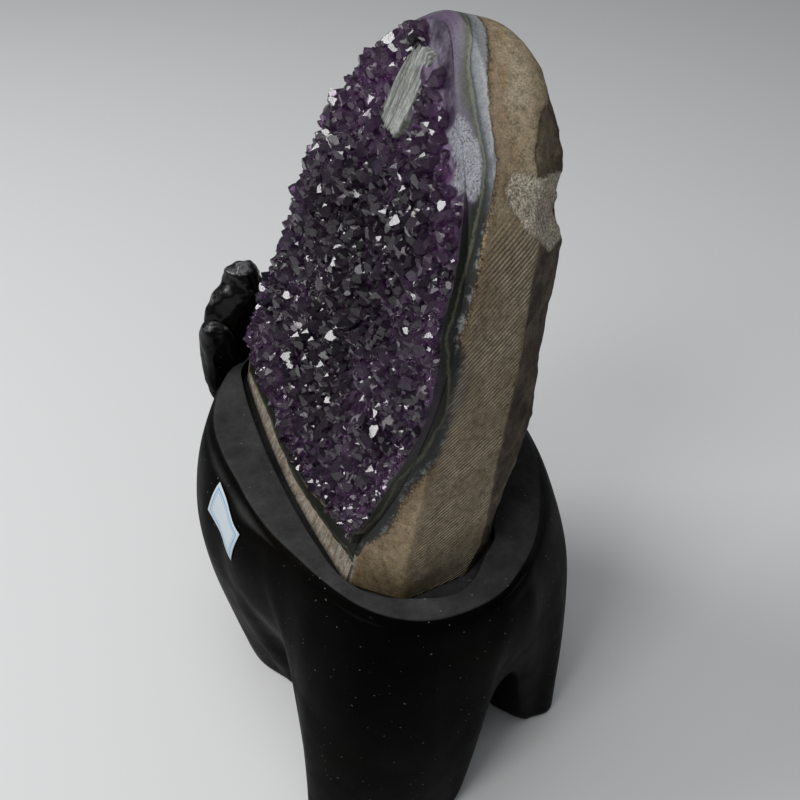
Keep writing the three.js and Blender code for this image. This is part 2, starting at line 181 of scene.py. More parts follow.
# %% Grids of faces
def grid_faces(rows, columns, closed=True, first=0):
    """Four-cornered faces between neighbouring rows and columns of a grid whose points
    are numbered row by row from first. A closed grid joins its last column to its first."""
    r, c = np.meshgrid(np.arange(rows - 1), np.arange(columns - (not closed)), indexing="ij")
    after = (c + 1) % columns
    here, there = r * columns + first, (r + 1) * columns + first
    return np.stack([here + c, there + c, there + after, here + after], -1).reshape(-1, 4)


def capped(rows):
    """A closed body from rows of points: the grid between them, and at either end a fan
    of triangles about the middle of the last row. Gives the points and the faces."""
    count, columns = rows.shape[:2]
    points = np.vstack([rows.reshape(-1, 3), rows[0].mean(axis=0), rows[-1].mean(axis=0)])
    ring = np.arange(columns)
    after = (ring + 1) % columns
    last = (count - 1) * columns
    start = np.stack([np.full(columns, len(points) - 2), ring, after], -1)
    end = np.stack([np.full(columns, len(points) - 1), last + after, last + ring], -1)
    return points, [grid_faces(count, columns), start, end]


def slab(top, under):
    """A thin closed body from two grids of points: the top's faces, the under side's
    turned round, and a wall along the border. Gives the points and the faces."""
    rows, columns = top.shape[:2]
    count = rows * columns
    border = np.concatenate([
        np.arange(columns), columns * np.arange(1, rows) + columns - 1,
        (rows - 1) * columns + np.arange(columns - 2, -1, -1),
        columns * np.arange(rows - 2, 0, -1)])
    after = np.roll(border, -1)
    return np.vstack([top.reshape(-1, 3), under.reshape(-1, 3)]), [
        grid_faces(rows, columns, closed=False),
        grid_faces(rows, columns, closed=False, first=count)[:, ::-1],
        np.stack([border, after, after + count, border + count], -1)]


# %% Which way is out
def outward_normals(rows):
    """The direction across each grid point: the cross product of the steps down its
    column and along its row, turned away from the body's middle."""
    along = np.roll(rows, -1, axis=1) - np.roll(rows, 1, axis=1)
    normal = unit(np.cross(np.gradient(rows, axis=0), along))
    away = np.mean(np.sum(normal * (rows - rows.mean(axis=(0, 1))), -1))
    return normal if away > 0 else -normal


def volume(points, faces):
    """Six times the volume inside the faces: the triple products of their triangles'
    corners, added. It is below zero where the faces point inwards."""
    return sum(np.sum(points[f[:, 0]] * np.cross(points[f[:, k]], points[f[:, k + 1]]))
               for f in faces for k in range(1, f.shape[1] - 1))


square_tube = np.array([[[x, y, z] for x, y in ((1, 1), (-1, 1), (-1, -1), (1, -1))]
                        for z in (0.0, 1.0, 2.0)])
tube_points, tube_faces = capped(square_tube)
print("a square tube of", sum(map(len, tube_faces)), "faces encloses",
      abs(volume(tube_points, tube_faces)) / 6)

# %% [markdown]
# ## The stone's outlines
# A saw and a grinder shaped this stone, so a few outlines say all of it: the edge of
# the open face, the first arris of the sawn side, the arris of the back flank and the
# edge of the back. They all run from the bottom left corner to the bottom right, up the
# right side, over the top and down the left, with as many keys each.

# %% Outlines
FRONT_KEYS = on_front(*np.array([
    [-138, FOOT], [66, FOOT], [66, 253], [79, 290], [87.5, 322], [92, 374], [82, 420],
    [62, 456], [25, 490], [-3, 516], [-45, 501], [-71, 481], [-92, 456], [-103, 436],
    [-121, 384], [-124, 343], [-136, 300], [-144, 260]]).T)
SIDE_KEYS = np.array([
    [-139, -44.5, FOOT], [91, -20.3, FOOT], [95.5, -20, 262], [95.5, -17, 285],
    [93.5, -10, 315], [92.8, 1, 374], [85.5, 14.5, 420], [74, 27.5, 460], [37, 42, 502],
    [-3, 46.5, 519.6], [-45.6, 40, 502], [-72, 34, 481.6], [-93.4, 27, 456.6],
    [-104.4, 20, 436.2], [-122.4, 3.6, 384], [-125.6, -9.5, 343], [-137.6, -22, 300],
    [-145.2, -35, 260]])
FLANK_KEYS = np.array([
    [-139, 12, FOOT], [88, 20, FOOT], [86.2, 31, 252], [84, 35, 284], [83, 38.5, 319],
    [81, 47, 374], [79, 50, 420], [72.5, 57, 461], [38, 71, 500], [-5, 76, 510],
    [-44, 73, 493], [-72, 67, 473], [-92, 61, 448], [-103, 56, 428], [-120, 41, 378],
    [-125, 32, 340], [-136, 22, 298], [-144, 16, 258]])
BACK_KEYS = np.array([
    [-130, 40, FOOT], [76, 41, FOOT], [73, 48, 255], [71, 57.5, 286], [69, 66, 319],
    [61.8, 72.6, 374], [55.8, 81, 420], [45, 84.5, 449], [25, 89.5, 472], [-5, 93, 482],
    [-39, 90, 467], [-63, 84, 446], [-80, 78, 423], [-91, 73, 402], [-107, 65, 359],
    [-113, 55, 322], [-124, 48, 285], [-131, 43, 254]])
FOOT_BULGE = 5.5
print(len(FRONT_KEYS), "keys on each outline, from height", FOOT, "to", SIDE_KEYS[:, 2].max())


# %% Draw an outline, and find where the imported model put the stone
def outline(keys, base, arch, bulge=0.0):
    """A straight base from the first key to the second, bowed forward by bulge times
    a sine, then the curve through the other keys back to the first."""
    line = keys[0] + base[:, None] * (keys[1] - keys[0])
    line[:, 1] -= bulge * np.sin(np.pi * base)
    return np.vstack([line, curve(np.vstack([keys[1:], keys[:1]]), arch)])


CAD_BASE_STEPS, CAD_ARCH_STEPS = 10, 51
cad_base = np.arange(CAD_BASE_STEPS) / CAD_BASE_STEPS
cad_arch = np.arange(CAD_ARCH_STEPS) / CAD_ARCH_STEPS
cad_corner = np.min(np.vstack([
    outline(FRONT_KEYS, cad_base, cad_arch, FOOT_BULGE),
    outline(SIDE_KEYS, cad_base, cad_arch)]), axis=0)
shift = np.array(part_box("geode_rock")[0]) * 1000 - cad_corner
print("from the carver's frame to the packed one, mm", shift.round(3))

# %% [markdown]
# ## Making and joining pieces
# Points and faces become a mesh object, numbers at its points become attributes that the
# materials can read, and a Boolean makes one body out of several. Each finished piece is
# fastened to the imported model's body and stands in for its plain CAD node.

# %% Pieces
def make_piece(name, points, faces, even=True, **values):
    """A mesh object from points in the carver's millimetres and arrays of faces, turned
    outwards if need be, with a number at each point for every named value. The two
    middle points of a capped grid take the first and the last number."""
    mesh = bpy.data.meshes.new(name)
    if volume(points, faces) < 0:
        faces = [f[:, ::-1] for f in faces]
    mesh.from_pydata((points + shift) / 1000, [], [f for group in faces for f in group.tolist()])
    for value_name, numbers in values.items():
        layer = mesh.attributes.new(value_name, "FLOAT", "POINT")
        ends = np.ravel(numbers)[[0, -1]][:len(points) - np.size(numbers)]
        padded = np.append(np.ravel(numbers), ends)
        layer.data.foreach_set("value", padded.astype(np.float32))
    mesh.polygons.foreach_set("use_smooth", np.full(len(mesh.polygons), even))
    mesh.update()
    piece = bpy.data.objects.new(name, mesh)
    bpy.context.scene.collection.objects.link(piece)
    return piece


def combine(piece, others, operation="UNION", even=True):
    """Joins, subtracts or intersects whole pieces: one exact Boolean after another, whose
    result becomes the piece's own mesh, shaded even or flat. The others are used up."""
    for other in others:
        step = piece.modifiers.new(other.name, "BOOLEAN")
        step.operation, step.solver, step.object = operation, "MANIFOLD", other
    seen = piece.evaluated_get(bpy.context.evaluated_depsgraph_get())
    made = bpy.data.meshes.new_from_object(seen)
    made.materials.clear()
    made.polygons.foreach_set("use_smooth", np.full(len(made.polygons), even))
    piece.modifiers.clear()
    piece.data = made
    for other in others:
        bpy.data.objects.remove(other)
    return piece


def finish_piece(piece, slot, *nodes):
    """Fastens a piece to the model, in place of its CAD nodes, and tells its size."""
    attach(piece, "root")
    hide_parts(*nodes)
    triangles = sum(len(p.vertices) - 2 for p in piece.data.polygons)
    print(piece.name, len(piece.data.vertices), "points,", triangles, "triangles")


# %% [markdown]
# ## Where the layers lie
# Behind the crystals the shell is layered: purple quartz, a dark line, grey-blue agate
# with a white rim, a thin rusty seam, then basalt. The saw cut across them, so on the
# cut edge the layers show as bands that wander. They are stored as one number, the
# layer: 0 where the purple ends, 1 on the olive line, 2 where the white starts, 3 at
# the rust, and slowly more into the basalt. A colour ramp turns it into colours. Along
# the foot a plain rim below the crystals shows only a dark band and then cream streaks.

# %% Layer number
# Height of the edge, then the way along the surface from the edge to where the purple
# ends, to the olive line, to the white and to the basalt; below zero on the crust's side
BANDS = np.array([
    [250, -9.0, -6.0, -4.0, -2.5], [262, -10.0, -5.0, 0.5, 3.5], [278, -10.2, -3.9, 3.4, 7.2],
    [294, -8.8, -1.8, 2.9, 5.6], [307, -7.9, -3.3, 0.6, 3.5], [320, -8.7, -4.7, 0.3, 4.2],
    [332, -5.0, 0.0, 3.8, 8.0], [343, -2.6, 2.9, 7.3, 13.6], [358, 0.1, 3.7, 7.5, 13.5],
    [366, 0.5, 6.3, 12.9, 18.2], [381, -1.7, 2.6, 7.0, 16.2], [390, -3.9, 0.5, 3.2, 11.2],
    [397, -7.3, -1.7, 0.6, 6.4], [405, -9.9, -4.7, -2.6, 2.2], [418, -8.2, -2.6, -0.8, 3.8],
    [431, -5.2, -0.3, 2.3, 6.3], [442, -2.7, 2.2, 5.4, 7.7], [453, 0.0, 5.8, 9.4, 11.2],
    [463, 6.8, 9.8, 14.5, 16.3], [470, 10.0, 12.4, 16.3, 19.2], [481, 6.8, 10.8, 14.6, 18.8],
    [489, 1.7, 11.2, 13.2, 20.1], [498, 2.2, 9.2, 11.5, 21.1], [508, 4.5, 10.6, 12.1, 19.6],
    [516, 6.6, 9.5, 12.0, 18.0]])
PLAIN_BANDS = [0.0, 2.5, 3.5, 6.0]
BASALT_STEP = 10
print("bands traced at", len(BANDS), "heights from", BANDS[0, 0], "to", BANDS[-1, 0])


def layer_number(points, edge, way):
    """The layer at points that lie a way past the cut edge, where edge is the edge's own
    point: the way, uneven by half a millimetre, measured on the four marks."""
    way = way + 0.4 * lumps(points, 5, 3) + 0.25 * lumps(points, 2.2, 4)
    known = smooth(-45, -5, edge[..., 0])
    marks = [known * np.interp(edge[..., 2], BANDS[:, 0], BANDS[:, k + 1])
             + (1 - known) * PLAIN_BANDS[k] for k in range(4)]
    steps = [(way - marks[k]) / (marks[k + 1] - marks[k]) for k in range(3)]
    return np.select(
        [way < marks[1], way < marks[2], way < marks[3]],
        [steps[0], 1 + steps[1], 2 + steps[2]], 3 + (way - marks[3]) / BASALT_STEP)


# %% [markdown]
# ## The stone as one grid
# Rows of the grid run round the stone, and each row is a blend of two outlines, from
# the open face over the sawn side and the flank to the back. Corners over the top and
# down the left were ground round, so there a row cuts the corner. The sawn right side
# is seen close up and gets the finest columns.

# %% Rows of the stone
def column_steps(keys, spacing):
    """Places along the arch, so that each span between keys is cut into equal steps no
    longer than its own spacing."""
    spans = np.linalg.norm(np.diff(np.vstack([keys[1:], keys[:1]]), axis=0), axis=1)
    counts = np.ceil(spans / spacing).astype(int)
    return np.concatenate([i + np.arange(n) / n for i, n in enumerate(counts)]) / len(counts)


BASE_STEPS = 84
base_steps = np.arange(BASE_STEPS) / BASE_STEPS
arch_steps = column_steps(SIDE_KEYS, np.array([1.7] * 5 + [1.3] * 3 + [2.2] * 2 + [3.2] * 7))
front = outline(FRONT_KEYS, base_steps, arch_steps, FOOT_BULGE)
side = outline(SIDE_KEYS, base_steps, arch_steps)
flank = outline(FLANK_KEYS, base_steps, arch_steps)
back = outline(BACK_KEYS, base_steps, arch_steps)
print("each outline has", len(front), "points")

# %% The plain rim at the foot
BED_INSET, RIM_FADE = 1.6, 45.0
# Along the foot: x, how high the crystals end above it, and how wide the dark band is
RIM = np.array([
    [-140, 17, 10], [-100, 19, 11], [-77, 18, 11], [-64, 12.5, 8], [-45, 10.5, 7],
    [-27, 8.5, 6.4], [-5, 10.5, 6.2], [22, 19, 10], [41, 24, 12], [55, 32, 16], [80, 34, 18]])


def inside_front(edge, inset):
    """The edge moved along the front plane by inset towards the bed's middle, and near
    the foot lifted, which leaves the plain rim below the crystals."""
    inner = edge + inset * unit(BED_MIDDLE - edge)
    near_foot = np.maximum(0, 1 - (inner[:, 2] - FOOT) / RIM_FADE)
    lift = np.interp(inner[:, 0], *RIM[:, :2].T) * near_foot
    return on_front(inner[:, 0], inner[:, 2] + lift)


# %% Blends between outlines
def rounded(before, corner, after, steps):
    """Rows that cut a corner: a curved blend from a point before it to a point after
    it, little at the sawn side, more over the top and on the left."""
    high = smooth(425, 500, corner[:, 2]) * (1 - 0.4 * smooth(0, 30, corner[:, 0]))
    left = smooth(-40, 80, -corner[:, 0])
    share = (0.05 + 0.33 * np.maximum(high, left))[:, None]
    start = corner + share * (before - corner)
    end = corner + share * (after - corner)
    t = np.linspace(0, 1, steps)[:, None, None]
    return (1 - t)**2 * start + 2 * t * (1 - t) * corner + t**2 * end


def rows_between(first, last, count):
    """count rows from first on, evenly spaced, which stop short of last."""
    t = (np.arange(count) / count)[:, None, None]
    return first + t * (last - first)


BACK_FACE_IN = 0.3
back_middle = back.mean(axis=0)
back_inner = back + BACK_FACE_IN * (back_middle - back)
flank_round = rounded(side, flank, back, 9)
back_round = rounded(flank, back, back_inner, 9)
bed_edge = inside_front(front, BED_INSET)
sections = [
    rows_between(0.1 * bed_edge + 0.9 * BED_MIDDLE, bed_edge, 3),
    rows_between(bed_edge, front, 26), rows_between(front, side, 20),
    rows_between(side, flank_round[0], 36), flank_round[:-1],
    rows_between(flank_round[-1], back_round[0], 18), back_round[:-1],
    rows_between(back_round[-1], back_inner, 10),
    rows_between(back_inner, 0.1 * back_inner + 0.9 * back_middle, 6)]
AT_BED, AT_FRONT, AT_SIDE, AT_FLANK = np.cumsum([len(rows) for rows in sections[:4]])
stone = np.concatenate(sections)
print("stone grid", stone.shape[0], "rows by", stone.shape[1], "columns")

# %% [markdown]
# ## Relief of the stone
# Real sawn edges aren't knife sharp, so neighbouring rows are averaged a few times. The
# sawn faces are nearly flat, with a few chips along their arrises, and the flank and the
# back keep the pitted rind of the basalt. On the right a corner broke off near the top,
# below a natural notch. Each is a border of straight sides, and points inside it are
# pushed in, with a ragged end towards the back.

# %% Soften and roughen
row_of = np.arange(len(stone))[:, None] + np.zeros(stone.shape[1])
sharp = stone.copy()
for _ in range(3):
    stone[1:-1] = 0.25 * stone[:-2] + 0.5 * stone[1:-1] + 0.25 * stone[2:]
stone[AT_BED - 3:AT_FRONT + 1] = sharp[AT_BED - 3:AT_FRONT + 1]
inward = -outward_normals(stone)
rind = smooth(AT_FLANK + 4, AT_FLANK + 10, row_of)
sawn = smooth(AT_SIDE - 1, AT_SIDE + 2, row_of) * (1 - rind)
way = np.cumsum(np.linalg.norm(np.diff(stone, axis=0, prepend=stone[:1]), axis=-1), axis=0)
way -= way[AT_FRONT]
depth = 0.25 + 0.25 * lumps(stone, 22, 11, 2) * (row_of > AT_FRONT)
depth += rind * (0.3 + 0.8 * lumps(stone, 14, 12, 3) + 0.5 * lumps(stone, 4.5, 13))
flank_chips = smooth(0.25, 0.7, lumps(stone, [9, 9, 13], 14, 2))
flank_chips *= smooth(475, 440, stone[..., 2])
depth += 1.5 * flank_chips * np.exp(-((row_of - AT_FLANK - 2) / 4.0)**2)
side_chips = smooth(0.45, 0.8, lumps(stone, 7, 15, 2))
depth += 0.7 * side_chips * np.exp(-((row_of - AT_SIDE) / 2.0)**2)
depth *= smooth(AT_FRONT, AT_FRONT + 3, row_of)
stone += depth[..., None] * inward


# %% Break a corner off
# The broken face and the notch above it, as y and z of their corners, clockwise
FRACTURE = np.array([
    [36.5, 467], [42, 472], [50, 471], [61, 466], [80, 456.5], [96, 445], [95, 430],
    [80, 423.5], [64, 426], [55.5, 431], [44.5, 449], [37, 457]])
NOTCH = np.array([[64, 490], [84, 491], [84, 462], [63, 461], [54.5, 469], [56, 480]])
# How far back, as x, each of them reaches, and how deep it is
FRACTURE_END, NOTCH_END = 38, 24
FRACTURE_STEP, FRACTURE_DEPTH, NOTCH_DEPTH = 0.7, 4.2, 2.4
BOX_MARGIN = 0.05


def within(points, border):
    """How far points are inside a border of y and z: the least distance inwards from its
    sides, below zero outside."""
    step = np.roll(border, -1, axis=0) - border
    inwards = unit(np.stack([step[:, 1], -step[:, 0]], -1))
    return np.min(np.sum((points[..., None, 1:] - border) * inwards, -1), axis=-1)


ragged = 0.5 * lumps(stone, 5, 21, 2)
far_end = stone[..., 0] + 3 * lumps(stone, 6, 22, 3)
in_fracture = np.minimum(within(stone, FRACTURE) + ragged, far_end - FRACTURE_END)
in_notch = np.minimum(within(stone, NOTCH) + 2 * ragged, far_end - NOTCH_END)
broken = smooth(0, 0.8, in_fracture)
notched = smooth(-0.4, 0.9, in_notch) * (1 - broken)
chip = (FRACTURE_STEP * broken + FRACTURE_DEPTH * smooth(0, 14, in_fracture)
        + NOTCH_DEPTH * notched)
grit = 0.5 * lumps(stone, 5.5, 23, 2) + 0.25 * lumps(stone, 1.7, 24)
stone += (chip + (broken + 0.6 * notched) * grit)[..., None] * inward
rind *= smooth(490, 484, stone[..., 2])
rind = (rind * (1 - notched) + 0.55 * notched) * (1 - broken)
stone_low, stone_high = [np.array(c) * 1000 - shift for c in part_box("geode_rock")]
stone = np.clip(stone, stone_low + BOX_MARGIN, stone_high - BOX_MARGIN)
print(np.sum(broken > 0.5), "points on the fracture,", np.sum(notched > 0.5), "in the notch")

# %% [markdown]
# ## What each place of the stone is
# The mesh also stores numbers for its material: the layer, how much a place shows saw
# lines, a fresh break or the rind, and whether it lies in the pale patch or on the cream
# part of the rim.

# %% Numbers for the stone's material
edge_of = np.broadcast_to(front, stone.shape)
stone_layer = layer_number(stone, edge_of, way)
# The plain rim: how far a point is below the crystals, against the dark band's width
below_crust = np.linalg.norm(stone - bed_edge, axis=-1) + 0.4 * lumps(stone, 5, 31)
band_width = np.interp(edge_of[..., 0], *RIM[:, [0, 2]].T)
rim_layer = np.interp(below_crust / band_width, [0, 0.25, 0.86, 1.05], [0.0, 0.5, 0.65, 3.8])
low_rim = smooth(45, 30, edge_of[..., 2] - FOOT) * (row_of <= AT_FRONT + 1)
left_rim = smooth(-60, -90, edge_of[..., 0]) * (row_of <= AT_FRONT)
rim_share = np.maximum(low_rim, left_rim)
stone_layer = rim_share * rim_layer + (1 - rim_share) * stone_layer
cream = rim_share * smooth(0.95, 1.1, below_crust / band_width)
sawn *= smooth(470, 425, stone[..., 2]) * smooth(0, 50, stone[..., 0]) * (1 - broken)
run_in = lumps(stone, [3.0, 3.0, 1.6], 32)
sawn *= smooth(AT_SIDE + 2, AT_SIDE + 5, row_of + 3 * run_in)


def pale_patch(points, edge, way):
    """The ragged speckled white place at the right edge near the top, from 0 to 1."""
    height = edge[..., 2]
    olive = np.interp(height, BANDS[:, 0], BANDS[:, 2]) - 1.2
    rag = 5 * lumps(points, 7, 52, 3)
    top = np.interp(way, [-4, 4, 9], [487, 483, 478])
    place = np.minimum(np.minimum(height - 461 + 0.5 * rag, top - height + 0.5 * rag),
                       np.minimum(olive - way, way + 8 + rag + 0.2 * (height - 470)))
    return smooth(-0.5, 1.5, place) * (edge[..., 0] > 0)


stone_pale = pale_patch(stone, edge_of, way)
print("layer numbers from", stone_layer.min().round(2), "to", stone_layer.max().round(2))

# %% Make the stone
geode_stone = make_piece("geode_stone", *capped(stone), layer=stone_layer, saw=sawn,
                         broken=broken, rind=rind, pale=stone_pale, cream=cream)
finish_piece(geode_stone, "basalt", "geode_rock")

# %% [markdown]
# ## The bed of the crystals
# Under the points the amethyst is massive: a bed a few millimetres thick that grew on
# the shell. It is a grid of rings from the middle out to the edge. On the right and along
# the bottom the saw left it a cut edge, up to 8 mm high, that shows the layers. At the
# top right the edge was ground down flush with the shell, and over the top and on the
# left the bed thins out.

# %% Rings of the bed
# By height: how high the cut edge is, and how wide the strip that was ground smooth is
CUT_HEIGHTS = np.array([[250, 4.5], [262, 6.5], [294, 8.0], [320, 7.6], [343, 5.2], [366, 4.2],
                        [390, 5.6], [405, 8.2], [418, 7.6], [437, 4.6], [453, 2.6], [463, 1.2],
                        [475, 0.03], [517, 0.03]])
GROUND_OFF = np.array([[455, 0], [470, 9], [485, 11], [495, 13], [503, 20], [520, 24]])
BED_BASE_STEPS = 90
bed_arch = column_steps(SIDE_KEYS, np.array([2.0] * 17))
bed_base = np.arange(BED_BASE_STEPS) / BED_BASE_STEPS
bed_front = outline(FRONT_KEYS, bed_base, bed_arch, FOOT_BULGE)
free = smooth(-30, 30, -bed_front[:, 0]) * smooth(250, 290, bed_front[:, 2])
flush = smooth(455, 475, bed_front[:, 2]) * (1 - free)
at_foot = smooth(25, 5, bed_front[:, 2] - FOOT) * smooth(70, 45, bed_front[:, 0])
crust_edge = inside_front(bed_front, (0.4 + 1.8 * free - 0.35 * flush)[:, None])
uneven_cut = 0.5 * lumps(crust_edge, 14, 42) + 0.35 * lumps(crust_edge, 4, 43)
cut_rise = np.interp(crust_edge[:, 2], *CUT_HEIGHTS.T) + (1 - flush) * uneven_cut
free_rise = 2.2 + 0.8 * lumps(crust_edge, 9, 44)
edge_rise = np.maximum(0.5 - 0.47 * flush,
                       (1 - free) * (1 - 0.8 * at_foot) * cut_rise + free * free_rise)
mid_x, mid_z = BED_MIDDLE[[0, 2]]
edge_angle = np.arctan2(crust_edge[:, 2] - mid_z, crust_edge[:, 0] - mid_x)
edge_order = np.argsort(edge_angle)
edge_reach = np.hypot(crust_edge[:, 0] - mid_x, crust_edge[:, 2] - mid_z)


# %% Height of the bed
def over_edge(x, z, numbers):
    """Numbers that go with the crust's edge, looked up where the line from the bed's
    middle through a place meets that edge."""
    angle = np.arctan2(z - mid_z, x - mid_x)
    return np.interp(angle, edge_angle[edge_order], numbers[edge_order], period=2 * np.pi)


def edge_gap(x, z):
    """How far a place is inside the crust's edge, along the line from the middle."""
    return over_edge(x, z, edge_reach) - np.hypot(x - mid_x, z - mid_z)


def ground_off(x, z, fade=2):
    """1 on the strip at the top right that was ground smooth, 0 away from it."""
    strip = np.interp(z, *GROUND_OFF.T) * smooth(-25, 5, x)
    return smooth(strip + fade, strip - 2, edge_gap(x, z)) * (strip > 0.5)


def swell(x, z):
    """The bed's broad swells, from -1.6 to 1.6: two slow waves across and up the face."""
    return (np.sin(0.047 * x + 1.1) * np.cos(0.039 * z - 0.4)
            + 0.6 * np.sin(0.083 * x - 0.061 * z))


def bed_height(x, z):
    """Height of the bed above the front plane: swells and lumps, which pass over to the
    cut height near the edge and to a level strip where it was ground."""
    at = np.stack([x, np.zeros_like(x), z], -1)
    height = np.maximum(1.2, 3.2 + 1.6 * swell(x, z) + 0.8 * lumps(at, 9, 41, 2))
    near = smooth(13, 1.5, edge_gap(x, z))
    height = (1 - near) * height + near * over_edge(x, z, edge_rise)
    level = ground_off(x, z, 9)
    return (1 - level) * height + level * over_edge(x, z, edge_rise)


# %% The bed's grid
rings = np.append(np.linspace(0.02, 0.988, 64), [0.994, 0.998, 0.9997, 1])[:, None]
bed_x = mid_x + rings * (crust_edge[:, 0] - mid_x)
bed_z = mid_z + rings * (crust_edge[:, 2] - mid_z)
bed = on_front(bed_x, bed_z, bed_height(bed_x, bed_z))
BED_UNDER = 0.4
cliff = [on_front(crust_edge[:, 0], crust_edge[:, 2], up * edge_rise - BED_UNDER * (1 - up))
         for up in np.linspace(1, 0, 13)[1:]]
under_side = on_front(mid_x + 0.2 * (crust_edge[:, 0] - mid_x),
                      mid_z + 0.2 * (crust_edge[:, 2] - mid_z), -BED_UNDER)
bed = np.concatenate([bed, cliff, under_side[None]])
bed_way = -np.maximum(0, (bed - crust_edge) @ FRONT_NORMAL)
bed_way[:len(rings)] = -edge_rise - edge_gap(bed_x, bed_z)
edge_at_bed = np.broadcast_to(crust_edge, bed.shape)
bed_layer = np.maximum(-2, np.minimum(layer_number(bed, edge_at_bed, bed_way), 3))
print("cut edge", edge_rise.min().round(2), "to", edge_rise.max().round(2), "mm high")


# %% Purple places of the bed
def purple_tone(points):
    """How much light the crystals let through, from 0, nearly black, to 1, clear purple:
    low in the middle, higher towards the edges and most of all at the top left."""
    x, z = points[..., 0], points[..., 2]
    middle = np.exp(-(((x + 18) / 66)**2 + ((z - 375) / 100)**2))
    top_left = smooth(430, 480, z) * smooth(0, -40, x)
    tone = 0.61 + 0.42 * top_left - 0.60 * middle + 0.3 * lumps(points, 34, 51, 2)
    return np.clip(tone, 0, 1)


bed_tone = purple_tone(bed) * smooth(-2, 14, edge_gap(bed[..., 0], bed[..., 2]))
crystal_bed = make_piece("crystal_bed", *capped(bed), layer=bed_layer, tone=bed_tone,
                         pale=pale_patch(bed, edge_at_bed, bed_way),
                         ground=ground_off(bed[..., 0], bed[..., 2]))
finish_piece(crystal_bed, "amethyst", "amethyst_crust")

# %% [markdown]
# ## Crystal points
# Amethyst grows as six-sided prisms under a tip of six faces, three large and three
# small. Every point here is the same shape, stretched, turned and leaned in its own way.
# Along the crystal's axis the large tip faces drop 1.27 for each step outwards, and the
# small ones are set further out by a spread, so that they meet the large ones as
# triangles.

# %% The shape of one crystal
SLOPE = 1.27
STEP = np.radians(60)
LARGE_TIP_FACE = [[0, 1 + (j - 1) % 3, 7 + (j - 1) % 3, 10 + (2 * j - 1) % 6, 10 + 2 * j,
                   4 + j, 1 + j] for j in range(3)]
SMALL_TIP_FACE = [[4 + j, 7 + j, 1 + j] for j in range(3)]
PLAIN_SIDE = [[16 + (2 * j - 1) % 6, 16 + 2 * j, 10 + 2 * j, 10 + (2 * j - 1) % 6]
              for j in range(3)]
NOTCHED_SIDE = [[16 + 2 * j, 17 + 2 * j, 11 + 2 * j, 7 + j, 4 + j, 10 + 2 * j]
                for j in range(3)]
ROOT = [[21, 20, 19, 18, 17, 16]]
CRYSTAL_FACES = [np.array(f) for f in
                 (LARGE_TIP_FACE, SMALL_TIP_FACE, PLAIN_SIDE, NOTCHED_SIDE, ROOT)]


def crystal_points(count, height, root, spread):
    """Corners of crystals whose flat-to-flat half width is 1: the tip, three points
    where small tip faces end above, six where they meet the sides, six corners where
    large tip faces meet the sides, and six at the root."""
    flat = np.ones(count)

    def ring(angle, reach, level):
        """One corner of every crystal: its angle and reach from the axis, and its level."""
        return np.stack([reach * np.cos(angle) * flat, reach * np.sin(angle) * flat,
                         level * flat], -1)

    tip = [ring(0, 0, height)]
    middles = STEP + 2 * STEP * np.arange(3)
    tops = [ring(a, 2 * spread / SLOPE, height - spread) for a in middles]
    half = (0.5 - spread / SLOPE) / np.sin(STEP)
    reach, off = np.hypot(1, half), np.arctan(half)
    ends = [ring(a + side * off, reach, height + spread - SLOPE)
            for side in (-1, 1) for a in middles]
    corners = [ring(STEP / 2 + k * STEP, 1 / np.cos(STEP / 2), height - SLOPE)
               for k in range(6)]
    roots = [ring(STEP / 2 + k * STEP, 1 / np.cos(STEP / 2), -root) for k in range(6)]
    return np.stack(tip + tops + ends + corners + roots, 1)


print("one crystal has", sum(map(len, CRYSTAL_FACES)), "faces")


# %% [markdown]
# ## Where the crystals grow
# They stand on a honeycomb of places, each moved a little at random, and small ones fill
# in between. Each leans its own way, and those at the left and the top lean out. The
# scar near the top and the pale patch have none. Crystals that meet have to be one body,
# or light would meet walls inside them. A Boolean on thousands of overlapping bodies at
# once is slow, so every fourth row and column of the honeycomb makes one set, in which
# none touch, and the sets are joined one after another.

# %% Honeycomb of places
PITCH, LEFT_END, LOW_END = 7.0, -152, 243
ROW_STEP = 0.866 * PITCH
ROOT_DEPTH, ROOT_ABOVE_BED = 3.4, 0.3
SET_SPACING = 4
SETS = SET_SPACING**2
random = np.random.default_rng(5)
grid_u, grid_v = np.meshgrid(np.arange(38), np.arange(52), indexing="ij")
grid_u, grid_v = grid_u.ravel(), grid_v.ravel()
print(len(grid_u), "places on the honeycomb")

# %% Place of the scar
# The scar: its two ends, its half width, and how proud it is at its top and low end
SCAR_ENDS = on_front(np.array([-8.5, -17.5]), np.array([502, 459]))
SCAR_HALF_WIDTH, SCAR_LOW, SCAR_HIGH = 12.0, 4.6, 8.6
scar_along = unit(SCAR_ENDS[1] - SCAR_ENDS[0])
scar_across = np.cross(FRONT_NORMAL, scar_along)
scar_length = np.linalg.norm(SCAR_ENDS[1] - SCAR_ENDS[0])


def scar_width(share):
    """The scar's half width along its length: narrow at the top end, full lower down."""
    return SCAR_HALF_WIDTH * np.interp(
        share, [0, 0.08, 0.25, 0.5, 0.85, 1], [0.5, 0.75, 0.9, 1, 0.95, 0.6])


def scar_level(share):
    """How proud the scar is along its length: it rises from its top end downwards."""
    return SCAR_LOW + (SCAR_HIGH - SCAR_LOW) * share


print("scar", scar_length.round(1), "mm long")


